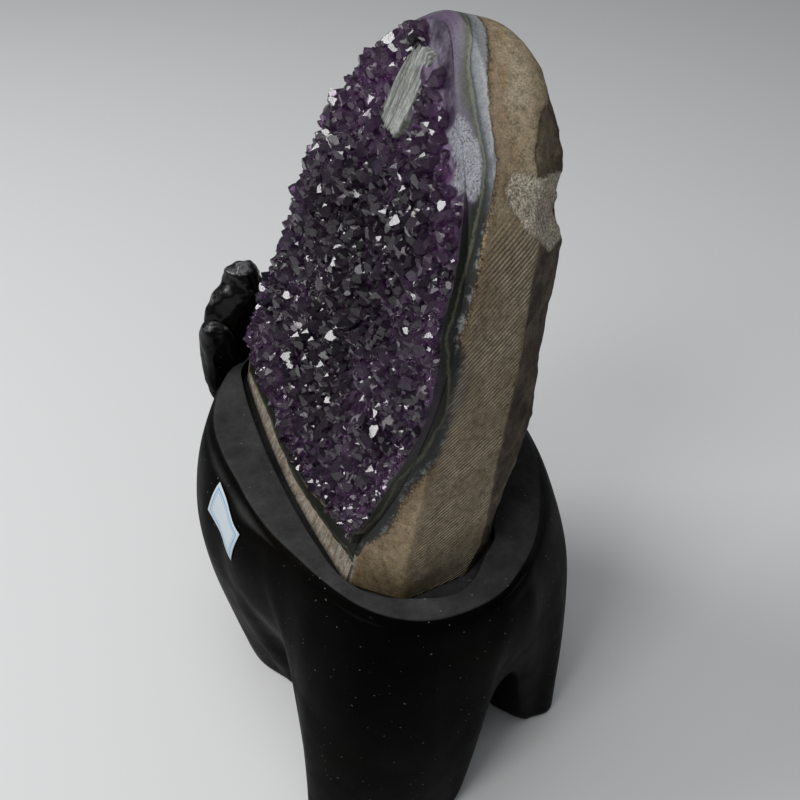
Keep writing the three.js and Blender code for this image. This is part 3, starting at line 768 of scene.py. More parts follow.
# %% Places and directions
def places_on_bed(wander, width):
    """Places on the honeycomb moved by wander, with half widths drawn between two
    limits, less those beyond the edge, on the scar and on the pale and ground places."""
    stray_x, stray_z = (PITCH * wander * random.uniform(-1, 1, grid_u.shape) for _ in range(2))
    x = LEFT_END + PITCH * (grid_u + 0.5 * (grid_v % 2)) + stray_x
    z = LOW_END + np.cos(LEAN) * (ROW_STEP * grid_v + stray_z)
    half_width = width[0] + (width[1] - width[0]) * random.beta(1.6, 2.2, x.shape)
    gap = edge_gap(x, z)
    foot = on_front(x, z, bed_height(x, z) + ROOT_ABOVE_BED)
    from_scar = foot - SCAR_ENDS[0]
    share, across = from_scar @ scar_along / scar_length, from_scar @ scar_across
    half = scar_width(share)
    on_scar = (across > 1 - half) & (across < half + 4) & (share > 0) & (share < 1)
    edge_z = over_edge(x, z, crust_edge[:, 2])
    edge_point = np.stack([over_edge(x, z, crust_edge[:, 0]), 0 * x, edge_z], -1)
    pale = pale_patch(foot, edge_point, -gap)
    kept = (gap > 1.0) & ~on_scar & (pale < 0.3) & (ground_off(x, z) < 0.5)
    x, z, half_width, foot, gap = (a[kept] for a in (x, z, half_width, foot, gap))
    shrunk = (1 - over_edge(x, z, free)) * smooth(22, 2, gap)
    return x, z, half_width * (1 - 0.38 * shrunk), foot, gap, kept


def directions(x, z, gap, tilt):
    """Three directions of each crystal: two across it and its axis, which leans at
    random by up to tilt and, near the left and the top, outwards."""
    turn = random.uniform(0, 2 * np.pi, x.shape)
    lean = np.radians(tilt) * random.uniform(0, 1, x.shape)**0.7
    out = unit(np.stack([x - BED_MIDDLE[0], 0 * x, z - BED_MIDDLE[2]], -1))
    outward = 0.5 * smooth(26, 4, gap) * smooth(-20, 50, -x)
    plane_up = np.cross(FRONT_NORMAL, [-1.0, 0, 0])
    sideways = np.cos(turn)[:, None] * np.array([1.0, 0, 0]) + np.sin(turn)[:, None] * plane_up
    axis = unit(FRONT_NORMAL + np.tan(lean)[:, None] * sideways + outward[:, None] * out)
    spin = random.uniform(0, 2 * np.pi, x.shape)
    first = unit(np.cross(axis, np.stack([np.cos(spin), np.sin(spin), 0.3 + 0 * spin], -1)))
    return first, np.cross(axis, first), axis


# %% Grow the crystals
def grow(wander, width, shaft, tilt, first_set):
    """Crystals on their places: shafts drawn between two limits, leans up to tilt.
    Gives their corners, sets and shades."""
    x, z, half_width, foot, gap, kept = places_on_bed(wander, width)
    first, second, axis = directions(x, z, gap, tilt)
    stretch = random.uniform(0.82, 1.22, x.shape)
    shaft_length = shaft[0] + (shaft[1] - shaft[0]) * random.uniform(0, 1, x.shape)
    shape = crystal_points(len(x), SLOPE + shaft_length, ROOT_DEPTH / half_width,
                           random.uniform(0.08, 0.5, x.shape))
    corners = half_width[:, None, None] * (
        stretch[:, None, None] * shape[..., :1] * first[:, None]
        + shape[..., 1:2] / stretch[:, None, None] * second[:, None]
        + shape[..., 2:] * axis[:, None]) + foot[:, None]
    sets = (SET_SPACING * (grid_u[kept] % SET_SPACING) + grid_v[kept] % SET_SPACING
            + first_set)
    shade = np.clip(purple_tone(foot) + random.normal(0, 0.2, x.shape), 0, 1)
    return corners, sets, shade


# Large, small and tiny ones: stray, half widths, shafts, lean in degrees, first set
large = grow(0.27, (2.0, 5.3), (0.1, 0.9), 42, 0)
small = grow(0.5, (1.2, 2.9), (0.4, 1.5), 55, SETS)
tiny = grow(0.5, (1.0, 2.2), (0.4, 1.5), 60, 2 * SETS)
corners, sets, shade = (np.concatenate(parts) for parts in zip(large, small, tiny))
print([len(part[0]) for part in (large, small, tiny)], "large, small and tiny crystals")


# %% Join the crystals
def crystal_set(number):
    """The crystals of one set as one mesh, with a shade on every face."""
    mine = corners[sets == number]
    start = mine.shape[1] * np.arange(len(mine))[:, None, None]
    faces = [(start + f).reshape(-1, f.shape[1]) for f in CRYSTAL_FACES]
    body = make_piece(f"crystals_{number}", mine.reshape(-1, 3), faces, even=False)
    face_shade = np.concatenate(
        [np.repeat(shade[sets == number], len(f)) for f in CRYSTAL_FACES])
    layer = body.data.attributes.new("shade", "FLOAT", "FACE")
    layer.data.foreach_set("value", face_shade.astype(np.float32))
    return body


amethyst_points = crystal_set(0)
amethyst_points.name = "amethyst_points"
combine(amethyst_points, [crystal_set(k) for k in range(1, 3 * SETS)])
print("joined crystals have", len(amethyst_points.data.polygons), "faces")

# %% [markdown]
# ## Trim the crystals
# The saw that cut the stone cut the crystals too: on the right and along the bottom they
# end flush with the cut edge of the bed. A second cutter takes off what stands over the
# scar. Both are plain closed bodies, and an exact Boolean leaves flat cut faces.

# %% Trimmers
TRIM_LOW, TRIM_HIGH, SCAR_CUT_HIGH = -0.3, 30, 40
# The trimmer's border: inside the edge where it was sawn, and outside it on the free left side
trim_inset = 0.55 + 0.9 * smooth(440, 480, bed_front[:, 2]) * free
trim_inset = trim_inset - 3.6 * free * smooth(470, 430, bed_front[:, 2])
trim_edge = inside_front(bed_front, trim_inset[:, None])
trim_rows = np.stack([trim_edge + proud * FRONT_NORMAL for proud in (TRIM_LOW, TRIM_HIGH)])
trimmer = make_piece("trimmer", *capped(trim_rows))
combine(amethyst_points, [trimmer], "INTERSECT")
print("trimmed to", len(amethyst_points.data.polygons), "faces")

# %% Cut the crystals off over the scar
# A ring round the scar, and a prism on it that starts at the scar's face
scar_share = np.array([-0.04, 0.08, 0.25, 0.5, 1.02])
scar_half = scar_width(scar_share) / SCAR_HALF_WIDTH
scar_ring = np.concatenate([np.stack([scar_share, -scar_half], -1),
                            np.stack([scar_share, scar_half + 0.35], -1)[::-1]])
scar_corners = (SCAR_ENDS[0] + scar_ring[:, :1] * scar_length * scar_along
                + scar_ring[:, 1:] * SCAR_HALF_WIDTH * scar_across)
scar_cut = scar_level(scar_ring[:, :1]) * FRONT_NORMAL
scar_rows = np.stack([scar_corners + scar_cut, scar_corners + SCAR_CUT_HIGH * FRONT_NORMAL])
scar_cutter = make_piece("scar_cutter", *capped(scar_rows))
combine(amethyst_points, [scar_cutter], "DIFFERENCE", even=False)
finish_piece(amethyst_points, "amethyst", "amethyst_crust")

# %% [markdown]
# ## The scar
# Near the top a strip of crystals was sheared off, which left a flat, pale, streaked
# face with splintered edges. It is a thin slab of its own: a grid along and across the
# strip that is nearly flat and drops at a ragged border.

# %% Scar slab
SCAR_UNDER, BORDER_FOOT = 0.6, 1.2
SCAR_ROWS, SCAR_COLUMNS = 90, 44
run, over = np.meshgrid(np.linspace(-0.02, 1.02, SCAR_ROWS),
                        np.linspace(-1.08, 1.08, SCAR_COLUMNS), indexing="ij")


def along_strip(fine_run, fine_over, seed, octaves=1):
    """Lumps over the strip, by how fine they are along and across it."""
    return lumps(np.stack([run * fine_run, over * fine_over, 0 * run], -1), 1, seed, octaves)


flat_at = (SCAR_ENDS[0] + run[..., None] * scar_length * scar_along
           + (over * scar_width(run))[..., None] * scar_across)
scar_streaks = along_strip(2.5, 8, 61, 2) + 0.5 * along_strip(6, 26, 63)
ragged_side = lumps(np.stack([run * 7, np.sign(over) * 5, 0 * run], -1), 1, 62, 3)
fibres = 0.05 * along_strip(0, 7, 64, 2)
border = (smooth(1.05, 0.99, np.abs(over) + 0.06 * ragged_side) * smooth(-0.02, 0.02, run)
          * smooth(1.0, 0.95, run + fibres))
splintered = 0.7 * smooth(0.35, 1, over) * np.abs(along_strip(5, 14, 65))
scar_rise = (scar_level(run) + 0.16 * scar_streaks - splintered
             - (1 - border) * (scar_level(run) - BORDER_FOOT))
scar_top = flat_at + scar_rise[..., None] * FRONT_NORMAL
crystal_scar = make_piece("crystal_scar", *slab(scar_top, flat_at + SCAR_UNDER * FRONT_NORMAL),
                          streak=np.append(scar_streaks, scar_streaks))
finish_piece(crystal_scar, "amethyst", "amethyst_crust")

# %% [markdown]
# ## The carved stand
# The stand is one block of wood: a hollowed stump with feet like roots, a shallow seat
# for the stone, and a branch stub at its left end. Ribs round it give the top edge, how
# far the wall bellies out, and where the wall ends, on a foot or in an arch. Curves
# through the ribs make the whole wall, which shallow hollows then enliven.

# %% Ribs of the stand
# Counter-clockwise from the right end: top edge x and y, belly, wall end x, y and z
RIBS = np.array([
    [118, 14, 9, 119, 6, 0], [114, 32, 9, 110, 37, 121], [104, 49, 11, 98, 59, 112],
    [91, 65, 10, 80, 92, 0], [74, 79, 13, 80, 114, 0], [52, 92, 18, 50, 127, 0],
    [30, 102, 17, 26, 106, 62], [0, 110, 17, -4, 114, 0], [-36, 111, 20, -34, 126, 0],
    [-72, 103, 19, -72, 118, 0], [-105, 88, 18, -98, 84, 76], [-138, 66, 14, -128, 64, 74],
    [-160, 37, 12, -162, 44, 0], [-168, 3, 11, -174, 6, 0], [-163, -30, 11, -166, -30, 0],
    [-144, -58, 11, -138, -50, 66], [-119, -75, 12, -106, -72, 58], [-90, -85, 20, -84, -90, 0],
    [-60, -87, 24, -52, -86, 0], [-32, -85, 24, -24, -70, 0], [-8, -83, 22, -2, -72, 78],
    [18, -78, 13, 34, -70, 86], [42, -70, 9, 62, -84, 0], [66, -61, 11, 86, -92, 0],
    [92, -47, 13, 112, -78, 0], [109, -29, 12, 124, -46, 0], [117, -10, 10, 126, -20, 0]])
SEAT_KEYS = np.array([
    [-153, -34], [-141, -48.5], [-120, -53.5], [-75, -57], [-20, -57.5], [35, -54.5],
    [68, -48.5], [86, -36], [99, -12], [103, 6], [98, 20], [85, 34], [72, 47], [20, 50],
    [-60, 50], [-132, 49], [-150, 28], [-156, -4]])
STAND_CENTRE = np.array([-18.0, 12.0])
EDGE_ROUND, SEAT_CHAMFER, SOLE_WIDTH, DOME_HEIGHT = 3.0, 0.8, 36.0, 168.0
print(len(RIBS), "ribs round the stand,", np.sum(RIBS[:, 5] == 0), "of them on its feet")


# %% The wall between the ribs
def top_edge(u):
    """The stand's top edge at u, which goes once round from 0 to 1."""
    keys = np.column_stack([RIBS[:, :2], np.full(len(RIBS), STAND_TOP - EDGE_ROUND)])
    return curve(keys, u, closed=True)


def wall_end(u):
    """The lower end of the wall: on the floor at a foot, higher in an arch."""
    end = curve(RIBS[:, 3:], u, closed=True)
    end[:, 2] = np.maximum(0, end[:, 2])
    return end


def belly(u):
    """How far the wall stands out in the middle."""
    return number_curve(RIBS[:, 2], u, closed=True)


def outwards(u):
    """The level direction out of the wall at its top edge."""
    along = top_edge(u + 0.004) - top_edge(u - 0.004)
    return unit(np.stack([along[:, 1], -along[:, 0], 0 * u], -1))


def wall(u, share):
    """The wall from its top edge, share 0, to its end, share 1: the straight line
    between them plus the belly times sin(pi share^0.62), less the carver's hollows."""
    share = np.broadcast_to(share, u.shape)[:, None]
    bow = belly(u) * np.sin(np.pi * share**0.62)
    point = top_edge(u) + share * (wall_end(u) - top_edge(u)) + bow * outwards(u)
    carved = 1.5 * (1 + lumps(point, [44, 44, 130], 71, 2)) * smooth(0, 0.12, share[:, 0])
    return point - (0.35 + carved)[:, None] * outwards(u)


# %% Rows of the stand
SEAT_ROWS, CHAMFER_ROWS, LAND_ROWS, WALL_ROWS = 7, 6, 16, 76
STAND_COLUMNS = 13 * len(RIBS)
u_steps = np.arange(STAND_COLUMNS) / STAND_COLUMNS
centre_line = np.column_stack([np.tile(STAND_CENTRE, (len(u_steps), 1)), 0 * u_steps])
seat_curve = curve(np.column_stack([SEAT_KEYS, np.zeros(len(SEAT_KEYS))]),
                   np.arange(400) / 400, closed=True)[:, :2] - STAND_CENTRE
seat_angle = np.arctan2(seat_curve[:, 1], seat_curve[:, 0])


def seat_edge(wider, z):
    """The seat's outline at height z, moved outwards by wider, on the rays from the
    stand's centre to its top edge."""
    to_edge = top_edge(u_steps)[:, :2] - STAND_CENTRE
    angle = np.arctan2(to_edge[:, 1], to_edge[:, 0])
    order = np.argsort(seat_angle)
    reach = wider + np.interp(angle, seat_angle[order], np.hypot(*seat_curve.T)[order],
                              period=2 * np.pi)
    return np.column_stack([STAND_CENTRE[0] + reach * np.cos(angle),
                            STAND_CENTRE[1] + reach * np.sin(angle), np.full(len(angle), z)])


# %% Join the rows of the stand
floor_edge, seat_rim = seat_edge(0, SEAT_FLOOR), seat_edge(SEAT_CHAMFER, STAND_TOP)
land_edge = top_edge(u_steps) - EDGE_ROUND * outwards(u_steps)
land_edge[:, 2] = STAND_TOP
turns = np.linspace(0, np.pi / 2, 7)[:-1, None, None]
edge_rows = (land_edge + EDGE_ROUND * np.sin(turns) * 0.9 * outwards(u_steps)
             + EDGE_ROUND * (np.cos(turns) - 1) * np.array([0, 0, 1]))
wall_rows = np.stack([wall(u_steps, share) for share in np.linspace(0, 1, WALL_ROWS)])
foot_line = wall_rows[-1]
to_middle = centre_line + foot_line * [0, 0, 1] - foot_line
inner_line = foot_line + SOLE_WIDTH * unit(to_middle)
# The hollow underside: how far in towards the middle, and how high against the dome
VAULT_IN, VAULT_UP = [0, 0.16, 0.36, 0.65, 0.97], [0, 0.5, 0.82, 0.97, 1.0]
vault_share = np.interp(np.linspace(0, 1, 22), [0, 0.25, 0.5, 0.75, 1], VAULT_IN)
vault_height = np.interp(vault_share, VAULT_IN, VAULT_UP)
vault_rows = [inner_line * [1, 1, 0] + share * (centre_line - inner_line * [1, 1, 0])
              + (inner_line[:, 2:] + (DOME_HEIGHT - inner_line[:, 2:]) * rise) * [0, 0, 1]
              for share, rise in zip(vault_share, vault_height)]
middle_floor = centre_line + [0, 0, SEAT_FLOOR]
stand = np.concatenate([
    rows_between(0.1 * floor_edge + 0.9 * middle_floor, floor_edge, SEAT_ROWS),
    rows_between(floor_edge, seat_rim, CHAMFER_ROWS),
    rows_between(seat_rim, land_edge, LAND_ROWS),
    edge_rows, wall_rows[:-1], rows_between(foot_line, inner_line, 8), np.stack(vault_rows)])
# Rounds the foot's edges: each row there becomes a mean of itself and its neighbours
ROWS_ABOVE_FOOT, ROUNDED_ROWS = 6, 22
foot_start = (SEAT_ROWS + CHAMFER_ROWS + LAND_ROWS + len(edge_rows) + WALL_ROWS
              - ROWS_ABOVE_FOOT)
foot_stop = foot_start + ROUNDED_ROWS
for _ in range(4):
    stand[foot_start:foot_stop] = (0.25 * stand[foot_start - 1:foot_stop - 1]
                                   + 0.5 * stand[foot_start:foot_stop]
                                   + 0.25 * stand[foot_start + 1:foot_stop + 1])
print("stand grid", stand.shape[0], "rows by", stand.shape[1], "columns")

# %% [markdown]
# ## The branch stub
# At the left end a cut branch rises beside the stone: a neck with a wide knob, and a
# lobe in front of it. The neck is a tube of oval rings along a bent line, closed by a
# dome, the lobe is a rounded block, and a Boolean joins both to the stand.

# %% Branch stub
# Middle of the neck and its knob, and their half widths along x and y
STUB_LINE = np.array([[-146, -48, 190], [-157, -51, 224], [-162, -51, 247], [-163, -47, 268],
                      [-162, -39, 289], [-161, -34, 301]], float)
STUB_HALF_X = np.array([15, 14, 13, 13, 15.5, 14.5])
STUB_HALF_Y = np.array([15, 17, 19, 19.5, 17.5, 17])
STUB_TOP = 314.7
LOBE_MIDDLE, LOBE_HALF, LOBE_POWER = np.array([-157, -61, 233]), np.array([14, 14, 39]), 3.2
STUB_ROWS, STUB_COLUMNS = 96, 84
along_stub = np.linspace(0, 1, STUB_ROWS)
around = np.arange(STUB_COLUMNS) / STUB_COLUMNS * 2 * np.pi
stub_middle = curve(STUB_LINE, along_stub)
half_x, half_y = (number_curve(widths, along_stub) for widths in (STUB_HALF_X, STUB_HALF_Y))
uneven = 1 + 0.05 * np.sin(2 * around + 8 * along_stub[:, None]) + 0.04 * np.sin(3 * around)
stub = np.stack([stub_middle[:, :1] + half_x * uneven * np.cos(around),
                 stub_middle[:, 1:2] + half_y * uneven * np.sin(around),
                 stub_middle[:, 2:] - 0.2 * half_y * np.sin(around)], -1)
dome = np.linspace(0, np.pi / 2, 16)[1:-1, None, None]
last_middle = np.array([*stub_middle[-1, :2], 0])
dome_rows = (last_middle + np.cos(dome) * (stub[-1] - last_middle) * [1, 1, 0]
             + (stub[-1, :, 2:] + np.sin(dome) * (STUB_TOP - stub[-1, :, 2:])) * [0, 0, 1])
stub = np.concatenate([stub, dome_rows])


# %% Carve the stub, and make its lobe
def carve(rows, seed):
    """The rows pushed in by broad shallow hollows, as a carver's gouge leaves them, and
    near the top by deeper knots."""
    broad = 0.2 + 1.3 * (1 + lumps(rows, 12, seed, 2))
    knots = 2.1 * smooth(286, 301, rows[..., 2]) * (1 + lumps(rows, 11, seed + 5, 2))
    return rows - (broad + knots)[..., None] * outward_normals(rows)


stub = carve(stub, 81)


def round_block(wave):
    """A sine or cosine drawn towards 1 or -1, which makes a ball into a rounded block."""
    return np.sign(wave) * np.abs(wave)**(2 / LOBE_POWER)


# The lobe: each half width times the drawn sines and cosines of two turns
lobe_turn = np.linspace(-np.pi / 2, np.pi / 2, 60)[1:-1, None]
lobe = LOBE_MIDDLE + LOBE_HALF * np.stack([
    round_block(np.cos(lobe_turn)) * round_block(np.cos(around)),
    round_block(np.cos(lobe_turn)) * round_block(np.sin(around)),
    round_block(np.sin(lobe_turn)) + 0 * around], -1)
lobe = carve(lobe, 82)
print("branch stub rises to", stub[..., 2].max().round(1),
      "and its lobe to", lobe[..., 2].max().round(1))

# %% Join the stub
# The gloss is 0 on the stand and rises to 1 up the stub and the lobe
stand_low, stand_high = [np.array(c) * 1000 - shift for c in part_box("wood_stand")]
stand = np.clip(stand, stand_low, stand_high)
stub, lobe = (np.clip(rows, stand_low, stand_high) for rows in (stub, lobe))
carved_stand = make_piece("carved_stand", *capped(stand), gloss=np.zeros(stand.shape[:2]))
combine(carved_stand, [
    make_piece(name, *capped(rows), gloss=smooth(212, 275, rows[..., 2]))
    for name, rows in (("branch_stub", stub), ("lobe", lobe))])
finish_piece(carved_stand, "black_wood", "wood_stand")

# %% [markdown]
# ## The paper label
# A small sticker follows the front wall below its edge. Its place is given across and in
# height, so the wall is searched for the column that passes there, by halving.

# %% Label
LABEL_SIZE, LABEL_PLACE, LABEL_TURN = (43.0, 26.0), (-23.5, 211.5), np.radians(9)
LABEL_TOP, LABEL_UNDER = 0.75, 0.55
LABEL_ROWS, LABEL_COLUMNS = 44, 28
label_a, label_b = np.meshgrid(np.linspace(0, 1, LABEL_ROWS), np.linspace(0, 1, LABEL_COLUMNS),
                               indexing="ij")
across, down = (label_a.ravel() - 0.5) * LABEL_SIZE[0], (0.5 - label_b.ravel()) * LABEL_SIZE[1]
label_x = LABEL_PLACE[0] + across * np.cos(LABEL_TURN) + down * np.sin(LABEL_TURN)
label_z = LABEL_PLACE[1] - across * np.sin(LABEL_TURN) + down * np.cos(LABEL_TURN)


# %% Lay the label on the wall
def wall_at_height(u, z):
    """The wall's point at column u and height z: both ends of the wall give the share."""
    top, end = top_edge(u)[:, 2], wall_end(u)[:, 2]
    return wall(u, (top - z) / (top - end))


# The search starts between two ribs, one left of the label and one right of it
LEFT_RIB, RIGHT_RIB, HALVINGS = 17, 22, 22
left, right = (np.full(label_x.shape, rib / len(RIBS)) for rib in (LEFT_RIB, RIGHT_RIB))
for _ in range(HALVINGS):
    middle = (left + right) / 2
    too_far_left = wall_at_height(middle, label_z)[:, 0] < label_x
    left, right = np.where(too_far_left, middle, left), np.where(too_far_left, right, middle)
on_wall = wall_at_height(left, label_z)
step_across = wall_at_height(left + 0.002, label_z) - on_wall
step_down = wall_at_height(left, label_z - 1) - on_wall
label_out = unit(np.cross(step_down, step_across))
label_out *= np.sign(-label_out[:, 1:2])
label_top, label_under = ((on_wall + proud * label_out).reshape(*label_a.shape, 3)
                          for proud in (LABEL_TOP, LABEL_UNDER))
paper_sticker = make_piece("paper_sticker", *slab(label_top, label_under),
                           across=np.tile(label_a.ravel(), 2), down=np.tile(label_b.ravel(), 2))
finish_piece(paper_sticker, "paper", "paper_label")

# %% [markdown]
# ## Small tools for materials
# A material is a tree of nodes. A node's output is wrapped here as a field: a value or a
# colour that changes over the surface. Sums are then written as sums, because + - and *
# between fields make Math nodes. The other helpers add one kind of node each.

# %% Fields
class Field:
    """An output of a node, which knows its tree. Sums with it make Math nodes."""

    def __init__(self, socket):
        self.socket, self.tree = socket, socket.id_data

    def __add__(self, other):
        return maths("ADD", self, other)

    def __sub__(self, other):
        return maths("SUBTRACT", self, other)

    def __rsub__(self, other):
        return maths("SUBTRACT", other, self)

    def __mul__(self, other):
        return maths("MULTIPLY", self, other)


def fill(made, **inputs):
    """Links or sets a node's inputs. An input is named as its socket, with _ for a
    space, or by its number as in i0."""
    for name, value in inputs.items():
        socket = made.inputs[int(name[1:]) if name[1:].isdigit() else name.replace("_", " ")]
        if isinstance(value, Field):
            value.tree.links.new(value.socket, socket)
        else:
            socket.default_value = value


def node(near, kind, settings=(), output=0, **inputs):
    """An output of a new node of the kind, in a tree or in the tree of a field."""
    made = getattr(near, "tree", near).nodes.new("ShaderNode" + kind)
    for name, value in dict(settings).items():
        setattr(made, name, value)
    fill(made, **inputs)
    return Field(made.outputs[output])


def maths(operation, *values):
    """The result of a Math node."""
    near = next(v for v in values if isinstance(v, Field))
    numbered = {f"i{k}": value for k, value in enumerate(values)}
    return node(near, "Math", {"operation": operation}, **numbered)


# %% Node helpers
def blend(share, first, second, kind="MIX"):
    """The colour between first and second."""
    near = share if isinstance(share, Field) else first
    return node(near, "Mix", {"data_type": "RGBA", "blend_type": kind}, output=2,
                i0=share, i6=first, i7=second)


def range_of(value, low, high, to_low=0.0, to_high=1.0):
    """A value mapped smoothly from low..high to to_low..to_high."""
    return node(value, "MapRange", {"interpolation_type": "SMOOTHSTEP"}, i0=value, i1=low,
                i2=high, i3=to_low, i4=to_high)


def colours(value, stops):
    """A colour ramp: value looked up between stops of place and colour."""
    ramp = value.tree.nodes.new("ShaderNodeValToRGB")
    fill(ramp, Fac=value)
    parts = ramp.color_ramp.elements
    while len(parts) < len(stops):
        parts.new(0.5)
    for part, (place, colour) in zip(parts, stops):
        part.position, part.color = place, (*colour, 1)
    return Field(ramp.outputs[0])


def stored(tree, name):
    """A number stored on the mesh."""
    return node(tree, "Attribute", {"attribute_name": name}, output="Fac")


def noise(at, scale, detail=3.0, roughness=0.55):
    """A cloudy value from 0 to 1; scale is in lumps per metre."""
    return node(at, "TexNoise", output="Fac", Vector=at, Scale=scale, Detail=detail,
                Roughness=roughness)


def scaled(at, factors):
    """Places with x, y and z each times a factor, so that patterns there are drawn out."""
    return node(at, "VectorMath", {"operation": "MULTIPLY"}, i0=at, i1=factors)


def up_of(vector):
    """The third part of a vector: a height, or how far a face looks up."""
    return node(vector, "SeparateXYZ", output=2, i0=vector)


def bumps(height, strength, distance):
    """The normal tilted by a height, which is in units of the distance."""
    return node(height, "Bump", Strength=strength, Distance=distance, Height=height)


# %% Materials and groups
def new_material(name, piece):
    """A material on the piece: its tree, its Principled shader and the piece's own
    coordinates."""
    material = bpy.data.materials.new(name)
    material.use_nodes = True
    tree = material.node_tree
    tree.nodes.clear()
    output = tree.nodes.new("ShaderNodeOutputMaterial")
    shader = tree.nodes.new("ShaderNodeBsdfPrincipled")
    tree.links.new(shader.outputs[0], output.inputs[0])
    shader.label = name
    piece.data.materials.append(material)
    return tree, shader, node(tree, "TexCoord", output="Object")


def finish_material(shader, **inputs):
    """Links or sets the shader's inputs, and tells how many nodes the material has."""
    fill(shader, **inputs)
    print(shader.label, "has", len(shader.id_data.nodes), "nodes")


def new_group(name, inputs, outputs):
    """A shader node group with named float, colour or vector sockets: the group, its
    inputs as fields, and a function that links a field to an output."""
    tree = bpy.data.node_groups.new(name, "ShaderNodeTree")
    for side, sockets in (("INPUT", inputs), ("OUTPUT", outputs)):
        for socket_name, kind in sockets.items():
            tree.interface.new_socket(socket_name, in_out=side, socket_type="NodeSocket" + kind)
    incoming = tree.nodes.new("NodeGroupInput")
    outgoing = tree.nodes.new("NodeGroupOutput")
    given = [Field(incoming.outputs[key]) for key in inputs]
    return tree, given, lambda key, field: tree.links.new(field.socket, outgoing.inputs[key])


def use_group(group, at, **inputs):
    """A group node at the piece's coordinates, with its inputs linked or set: its
    outputs as fields, by name."""
    made = at.tree.nodes.new("ShaderNodeGroup")
    made.node_tree = group
    fill(made, At=at, **inputs)
    return {socket.name: Field(socket) for socket in made.outputs}


# %% [markdown]
# ## Effects that several materials share
# Stone, crystal bed, scar and wood all show fine grain: a speckle of light and dark that
# also makes tiny bumps. The stone and the bed show the same layers, so the layers'
# colours are a group too, and both pieces match where they meet.

# %% Group: grain
grain_group, (at, grain_scale, strength), give = new_group(
    "grain", {"At": "Vector", "Scale": "Float", "Strength": "Float"},
    {"Shade": "Float", "Height": "Float"})
fine = noise(at, grain_scale, 4.0, 0.65)
coarse = noise(at, grain_scale * 0.23)
both = fine * 0.6 + coarse * 0.4
give("Shade", (both - 0.5) * strength * 2.6 + 1.0)
give("Height", both)

# %% [markdown]
# ## The layers' colours
# Low down the bands are dark, with a thin olive line and patches of a grey-white fringe.
# Near the top they widen and pale: milky purple, olive, blue-grey, then white. The border
# of each band wanders, and the fringe of the white band is ragged.

# %% Group: layers
layers_group, (layer, at, pale_share), give = new_group(
    "layers", {"Layer": "Float", "At": "Vector", "Pale": "Float"},
    {"Color": "Color", "Polish": "Float"})
near_top = range_of(up_of(at), 0.456, 0.484)
wavy = layer + (noise(at, 420, 4.0) - 0.5) * 0.6
fringe = (noise(at, 900) - 0.5) * range_of(near_top, 0.0, 1.0, 1.5, 0.35)
wavy = wavy + fringe * range_of(layer, 1.5, 2.2, 0.1, 1.0)
place = node(wavy, "MapRange", i0=wavy, i1=-1.0, i2=4.0, i3=0.0, i4=1.0)
bright_low = colours(place, [
    (0.0, (0.016, 0.010, 0.018)), (0.17, (0.018, 0.012, 0.020)), (0.215, (0.008, 0.010, 0.006)),
    (0.33, (0.010, 0.011, 0.007)), (0.365, (0.062, 0.062, 0.042)), (0.41, (0.056, 0.056, 0.040)),
    (0.45, (0.010, 0.012, 0.010)), (0.58, (0.016, 0.018, 0.017)), (0.66, (0.085, 0.088, 0.088)),
    (0.745, (0.19, 0.195, 0.192)), (0.785, (0.030, 0.022, 0.014)), (0.82, (0.15, 0.105, 0.058)),
    (0.88, (0.225, 0.178, 0.115))])
dull_low = colours(place, [
    (0.40, (0.036, 0.036, 0.026)), (0.45, (0.010, 0.012, 0.010)), (0.62, (0.014, 0.016, 0.014)),
    (0.745, (0.024, 0.024, 0.020)), (0.785, (0.022, 0.017, 0.011)), (0.81, (0.14, 0.098, 0.054)),
    (0.88, (0.225, 0.178, 0.115))])
top_band = colours(place, [
    (0.0, (0.085, 0.062, 0.100)), (0.17, (0.095, 0.082, 0.108)), (0.27, (0.070, 0.070, 0.066)),
    (0.34, (0.052, 0.056, 0.042)), (0.37, (0.108, 0.112, 0.086)), (0.41, (0.104, 0.108, 0.088)),
    (0.445, (0.040, 0.044, 0.044)), (0.50, (0.066, 0.070, 0.078)), (0.57, (0.130, 0.136, 0.150)),
    (0.64, (0.170, 0.178, 0.190)), (0.75, (0.240, 0.246, 0.250)), (0.785, (0.050, 0.036, 0.024)),
    (0.82, (0.20, 0.145, 0.088)), (0.88, (0.25, 0.205, 0.140))])

# %% Patches, cloudiness and the pale patch
patchy = range_of(noise(at, 120, 4.0), 0.48, 0.60)
patchy = maths("MAXIMUM", patchy, range_of(place, 0.40, 0.38))
band = blend(near_top, blend(patchy, dull_low, bright_low), top_band)
cloudy = colours(noise(at, 900), [(0.3, (0.22, 0.22, 0.22)), (0.7, (0.88, 0.88, 0.88))])
band = blend(0.25, band, cloudy, "OVERLAY")
specks = range_of(noise(at, 1000, 5.0, 0.75), 0.36, 0.52)
speckled_white = colours(specks, [
    (0.0, (0.04, 0.03, 0.055)), (0.4, (0.115, 0.11, 0.14)), (1.0, (0.235, 0.24, 0.26))])
give("Color", blend(pale_share, band, speckled_white))
give("Polish", range_of(wavy, 3.2, 2.7))
print("groups", grain_group.name, "and", layers_group.name)
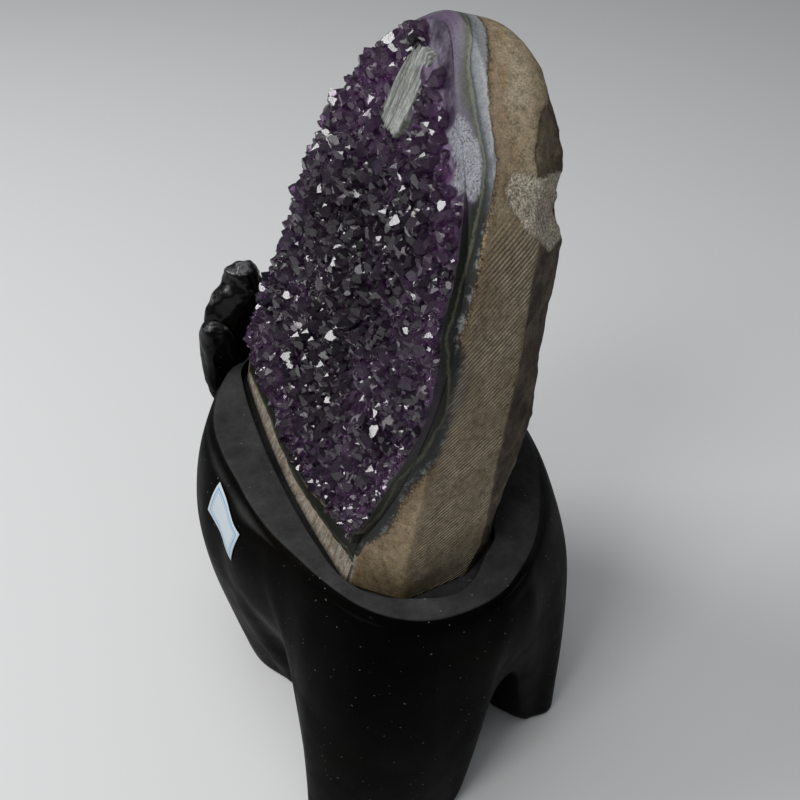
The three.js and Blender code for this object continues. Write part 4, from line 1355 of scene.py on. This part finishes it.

# %% [markdown]
# ## Basalt
# The shell is a fine tan stone, duller lower down and darker near the stand, partly its
# own tone and partly painted shade where less light reaches; rusty beside the layers, and
# cream with streaks on the plain rim at the foot. Where a corner broke off it is grey and
# grainy, and the flank and back keep a brown rind, partly its own colour and partly
# painted shade on the sides that face away from the light.

# %% Basalt colours
DULL_TAN, LOW_TAN_AND_SHADE = (0.155, 0.118, 0.070, 1), (0.105, 0.076, 0.038, 1)
RUST = (0.155, 0.090, 0.042, 1)
tree, shader, at = new_material("sawn_basalt", geode_stone)
layer, saw, broken_share, rind_share, cream_share, pale_share = (
    stored(tree, name) for name in ("layer", "saw", "broken", "rind", "cream", "pale"))
banded = use_group(layers_group, at, Layer=layer, Pale=pale_share)
grain = use_group(grain_group, at, Scale=1000.0, Strength=1.5)
tan = colours(noise(at, 34, 4.0), [
    (0.3, (0.185, 0.133, 0.075)), (0.46, (0.245, 0.193, 0.120)), (0.62, (0.27, 0.222, 0.150)),
    (0.75, (0.31, 0.268, 0.195))])
# Duller below the ground top and much darker near the stand: partly the stone's tone, partly
# painted shade where less light reaches low down
tan = blend(range_of(up_of(at), 0.482, 0.455) * 0.22, tan, DULL_TAN)
tan = blend(range_of(up_of(at), 0.285, 0.235) * 0.92, tan, LOW_TAN_AND_SHADE)
stained = range_of(layer, 4.4, 3.3) * range_of(noise(at, 75, 4.0), 0.40, 0.60)
tan = blend(stained * 0.6, tan, RUST)
streaked = colours(noise(scaled(at, (1, 0.3, 0.12)), 600, 4.0), [
    (0.35, (0.125, 0.102, 0.072)), (0.5, (0.20, 0.172, 0.132)), (0.65, (0.25, 0.235, 0.20))])
tan = blend(cream_share, tan, streaked)
# The rind is darker than the tan: partly its own colour, partly painted shade on the flank and
# back, which face away from the light
brown = colours(noise(at, 60, 5.0), [
    (0.3, (0.030, 0.022, 0.015)), (0.5, (0.075, 0.057, 0.038)), (0.7, (0.15, 0.12, 0.082))])
grey = colours(noise(at, 850, 6.0, 0.8), [
    (0.36, (0.13, 0.108, 0.076)), (0.5, (0.40, 0.355, 0.275)), (0.62, (0.80, 0.74, 0.61))])
in_basalt = range_of(layer, 3.1, 3.75)
stone_colour = blend(broken_share, blend(rind_share, tan, brown), grey)
stone_colour = blend(in_basalt, banded["Color"], stone_colour)

# %% [markdown]
# ## Saw lines
# The sawn side carries the arcs of a large round blade. Its middle lay far in front and
# above, so the ridges are parts of circles about that point: a sine of the distance from
# it. The grooves between them are coloured darker and the ridges lighter, and both fade in and
# out.

# %% Saw lines and the finished basalt
SAW_MIDDLE = (np.array([0.0, -144.0, 682.0]) + shift) / 1000
SAW_PITCH = 0.0023
GROOVE_DARKER, RIDGE_LIGHTER = (0.040, 0.031, 0.020, 1), (0.56, 0.48, 0.35, 1)
RIDGE_HEIGHT, GRAIN_HEIGHT, ROUGH_HEIGHT = 0.00062, 0.00022, 0.0016
offset = node(at, "VectorMath", {"operation": "SUBTRACT"}, i0=at, i1=tuple(SAW_MIDDLE))
radius = node(at, "VectorMath", {"operation": "LENGTH"}, output="Value",
              i0=scaled(offset, (0, 1, 1)))
phase = (radius + noise(at, 70, 2.0) * 0.0012) * (2 * np.pi / SAW_PITCH)
fading = range_of(noise(at, 45), 0.32, 0.62, 0.25, 1.0)
ridge = maths("POWER", maths("SINE", phase) * 0.5 + 0.5, 0.6) * saw * fading
groove = (saw - ridge) * fading
# The grooves are coloured darker and the ridges lighter
stone_colour = blend(groove * 0.92, stone_colour, GROOVE_DARKER)
stone_colour = blend(ridge * 0.5, stone_colour, RIDGE_LIGHTER)
stone_colour = blend(range_of(in_basalt, 0.0, 1.0, 0.4, 1.0), stone_colour, grain["Shade"],
                     "MULTIPLY")
rough_share = maths("MAXIMUM", broken_share, rind_share) * ROUGH_HEIGHT
relief = (ridge * RIDGE_HEIGHT + grain["Height"] * GRAIN_HEIGHT
          + noise(at, 330, 5.0, 0.7) * rough_share)
print("saw lines", SAW_PITCH * 1000, "mm apart about", SAW_MIDDLE.round(3))
finish_material(shader, Base_Color=stone_colour, Normal=bumps(relief, 1.0, 1.0),
                Roughness=range_of(banded["Polish"], 0.0, 1.0, 0.82, 0.45),
                Specular_IOR_Level=0.25)

# %% [markdown]
# ## Massive amethyst
# The bed is cloudy purple quartz, deeper in the middle and milky on the strip that was
# ground smooth. At its cut edge it shows the shell's layers, and the patch on the right is
# white and lavender with dark specks.

# %% Bed material
tree, shader, at = new_material("massive_amethyst", crystal_bed)
layer, pale_share = stored(tree, "layer"), stored(tree, "pale")
banded = use_group(layers_group, at, Layer=layer, Pale=pale_share)
grain = use_group(grain_group, at, Scale=700.0, Strength=1.1)
cloud = noise(at, 160, 4.0)
deep = colours(cloud, [(0.3, (0.005, 0.003, 0.006)), (0.7, (0.022, 0.012, 0.026))])
clear = colours(cloud, [(0.3, (0.060, 0.026, 0.072)), (0.7, (0.20, 0.10, 0.235))])
milky = colours(noise(at, 70, 5.0, 0.65), [
    (0.36, (0.026, 0.017, 0.034)), (0.5, (0.085, 0.070, 0.096)), (0.66, (0.16, 0.142, 0.170))])
quartz = blend(stored(tree, "tone"), deep, clear)
quartz = blend(stored(tree, "ground"), quartz, milky)
quartz = blend(maths("MAXIMUM", range_of(layer, -0.6, 0.0), pale_share), quartz, banded["Color"])
quartz = blend(1.0, quartz, grain["Shade"], "MULTIPLY")
finish_material(shader, Base_Color=quartz, Roughness=0.42,
                Normal=bumps(grain["Height"], 0.6, 0.0004), Specular_IOR_Level=0.3)

# %% [markdown]
# ## Clear amethyst
# The points are glass-like: light goes in, loses its green on the way, and comes out
# purple. Transmission, the refractive index and the absorption are plain values. Only the
# colour of the surface changes, from crystal to crystal and with inner clouds.

# %% Crystal material
tree, shader, at = new_material("clear_amethyst", amethyst_points)
cloud = noise(at, 240)
dark = colours(cloud, [(0.3, (0.035, 0.028, 0.042)), (0.7, (0.16, 0.125, 0.18))])
light = colours(cloud, [(0.3, (0.58, 0.36, 0.60)), (0.7, (1.0, 0.84, 1.0))])
absorbing = node(tree, "VolumeAbsorption", Color=(0.58, 0.20, 0.64, 1), Density=190.0)
fill(tree.nodes["Material Output"], Volume=absorbing)
finish_material(shader, Base_Color=blend(stored(tree, "shade"), dark, light),
                Roughness=0.04, IOR=1.544, Transmission_Weight=0.96)

# %% [markdown]
# ## The scar's quartz
# The sheared face is pale and streaked along its length. Each point's stored streak is
# mixed with fine threads, a noise that is drawn out along the strip.

# %% Scar material
tree, shader, at = new_material("sheared_quartz", crystal_scar)
grain = use_group(grain_group, at, Scale=800.0, Strength=0.9)
threads = (noise(scaled(at, (1, 0.12, 0.12)), 1400) - 0.5) * 4.0
mineral = colours(range_of(stored(tree, "streak") + threads, -1.6, 1.6), [
    (0.1, (0.075, 0.080, 0.068)), (0.45, (0.155, 0.162, 0.145)), (0.8, (0.27, 0.275, 0.26))])
mineral = blend(1.0, mineral, grain["Shade"], "MULTIPLY")
finish_material(shader, Base_Color=mineral, Roughness=0.5,
                Normal=bumps(grain["Height"], 0.8, 0.0004))

# %% [markdown]
# ## Black lacquered wood
# The stand is stained and lacquered black. Its walls keep a satin gloss. Dust, and
# painted light from above, make the level top charcoal, with a few bright specks. The stub
# has a glossier coat, less dust, and pale spots where it looks up: partly worn lacquer,
# partly painted highlight.

# %% Wood material
DUST_SPECK, WORN_AND_HIGHLIGHT = (0.22, 0.22, 0.22, 1), (0.105, 0.105, 0.110, 1)
tree, shader, at = new_material("black_lacquer", carved_stand)
gloss = stored(tree, "gloss")
up = up_of(node(tree, "NewGeometry", output="Normal"))
level = range_of(up, 0.55, 0.93) * range_of(gloss, 0.0, 1.0, 1.0, 0.35)
grain = use_group(grain_group, at, Scale=260.0, Strength=0.5)
black = colours(noise(at, 14), [
    (0.35, (0.0008, 0.0008, 0.0008)), (0.62, (0.0020, 0.0018, 0.0015)),
    (0.8, (0.0045, 0.0036, 0.0024))])
# The level top is lighter: partly dust, partly painted light from above
dust_and_top_light = colours(noise(at, 30, 4.0), [
    (0.3, (0.024, 0.024, 0.024)), (0.7, (0.042, 0.042, 0.0415))])
wood = blend(level, black, dust_and_top_light)
dots = node(at, "TexVoronoi", output="Distance", Vector=at, Scale=260.0)
specks = range_of(dots, 0.22, 0.12) * range_of(noise(at, 400, 2.0), 0.60, 0.66)
wood = blend(specks * 0.5, wood, DUST_SPECK)
# Pale spots up the stub and on the lobe's top: partly worn lacquer, partly painted highlight
worn_and_highlight = gloss * range_of(up, 0.35, 0.75) * range_of(noise(at, 110, 4.0), 0.46, 0.62)
wood = blend(worn_and_highlight, wood, WORN_AND_HIGHLIGHT)
wood = blend(1.0, wood, grain["Shade"], "MULTIPLY")
satin = level * 0.12 + range_of(noise(at, 24), 0.35, 0.65, 0.40, 0.52)
finish_material(shader, Base_Color=wood, Roughness=satin, Specular_IOR_Level=0.012,
                Normal=bumps(grain["Height"], 0.25, 0.0005), Coat_Weight=gloss * 0.4,
                Coat_Roughness=0.17)

# %% [markdown]
# ## Paper
# The sticker is white paper with a plain light blue double line just inside its edges.

# %% Paper material
tree, shader, at = new_material("white_paper", paper_sticker)


def line_at(distance, place, width):
    """1 on a line that lies at a place, in millimetres from the edge."""
    return maths("LESS_THAN", maths("ABSOLUTE", distance - place), width / 2)


def from_side(name, length):
    """Millimetres to the nearer of two opposite sides."""
    return (0.5 - maths("ABSOLUTE", stored(tree, name) - 0.5)) * length


inside = maths("MINIMUM", from_side("across", LABEL_SIZE[0]), from_side("down", LABEL_SIZE[1]))
lines = maths("MAXIMUM", line_at(inside, 2.6, 1.1), line_at(inside, 4.4, 0.4))
sheet_colour = blend(lines, (0.47, 0.53, 0.565, 1), (0.16, 0.30, 0.50, 1))
finish_material(shader, Base_Color=sheet_colour, Roughness=0.55,
                Normal=bumps(noise(at, 1500), 0.2, 0.0002))

# %% [markdown]
# ## The studio
# A plain pale floor, a soft window of light from the upper left, a fainter one from the
# right, a wide one overhead and a low grey sky. The windows are small enough that only
# facets turned the right way flash.

# %% Floor
FLOOR_HALF = 6
ground = bpy.data.meshes.new("floor")
ground.from_pydata([(x * FLOOR_HALF, y * FLOOR_HALF, 0)
                    for x, y in ((-1, -1), (1, -1), (1, 1), (-1, 1))], [], [(0, 1, 2, 3)])
floor = bpy.data.objects.new("floor", ground)
bpy.context.scene.collection.objects.link(floor)
tree, shader, at = new_material("pale_floor", floor)
finish_material(shader, Base_Color=(0.68, 0.68, 0.68, 1), Roughness=0.8,
                Specular_IOR_Level=0.2)


# %% Lights
def window(name, place, aim, size, watts):
    """A soft square light at a place, turned towards its aim."""
    data = bpy.data.lights.new(name, "AREA")
    data.shape, data.size, data.size_y, data.energy = "RECTANGLE", size, size, watts
    lamp = bpy.data.objects.new(name, data)
    lamp.location = place
    lamp.rotation_mode = "QUATERNION"
    lamp.rotation_quaternion = (Vector(aim) - Vector(place)).to_track_quat("-Z", "Y")
    bpy.context.scene.collection.objects.link(lamp)
    print(name, "of", watts, "watts")


window("window_light", (-0.9, -1.7, 2.0), (0, 0, 0.3), 1.05, 38)
window("side_window", (0.9, -1.6, 2.2), (0, 0, 0.3), 0.8, 20)
window("sky_light", (0.3, -0.4, 2.7), (0, 0, 0.2), 1.5, 23)
world = bpy.data.worlds.new("sky")
world.use_nodes = True
sky = world.node_tree.nodes["Background"]
sky.inputs["Color"].default_value = (0.80, 0.84, 0.90, 1)
sky.inputs["Strength"].default_value = 0.16
bpy.context.scene.world = world
bpy.context.scene.view_settings.view_transform = "Standard"
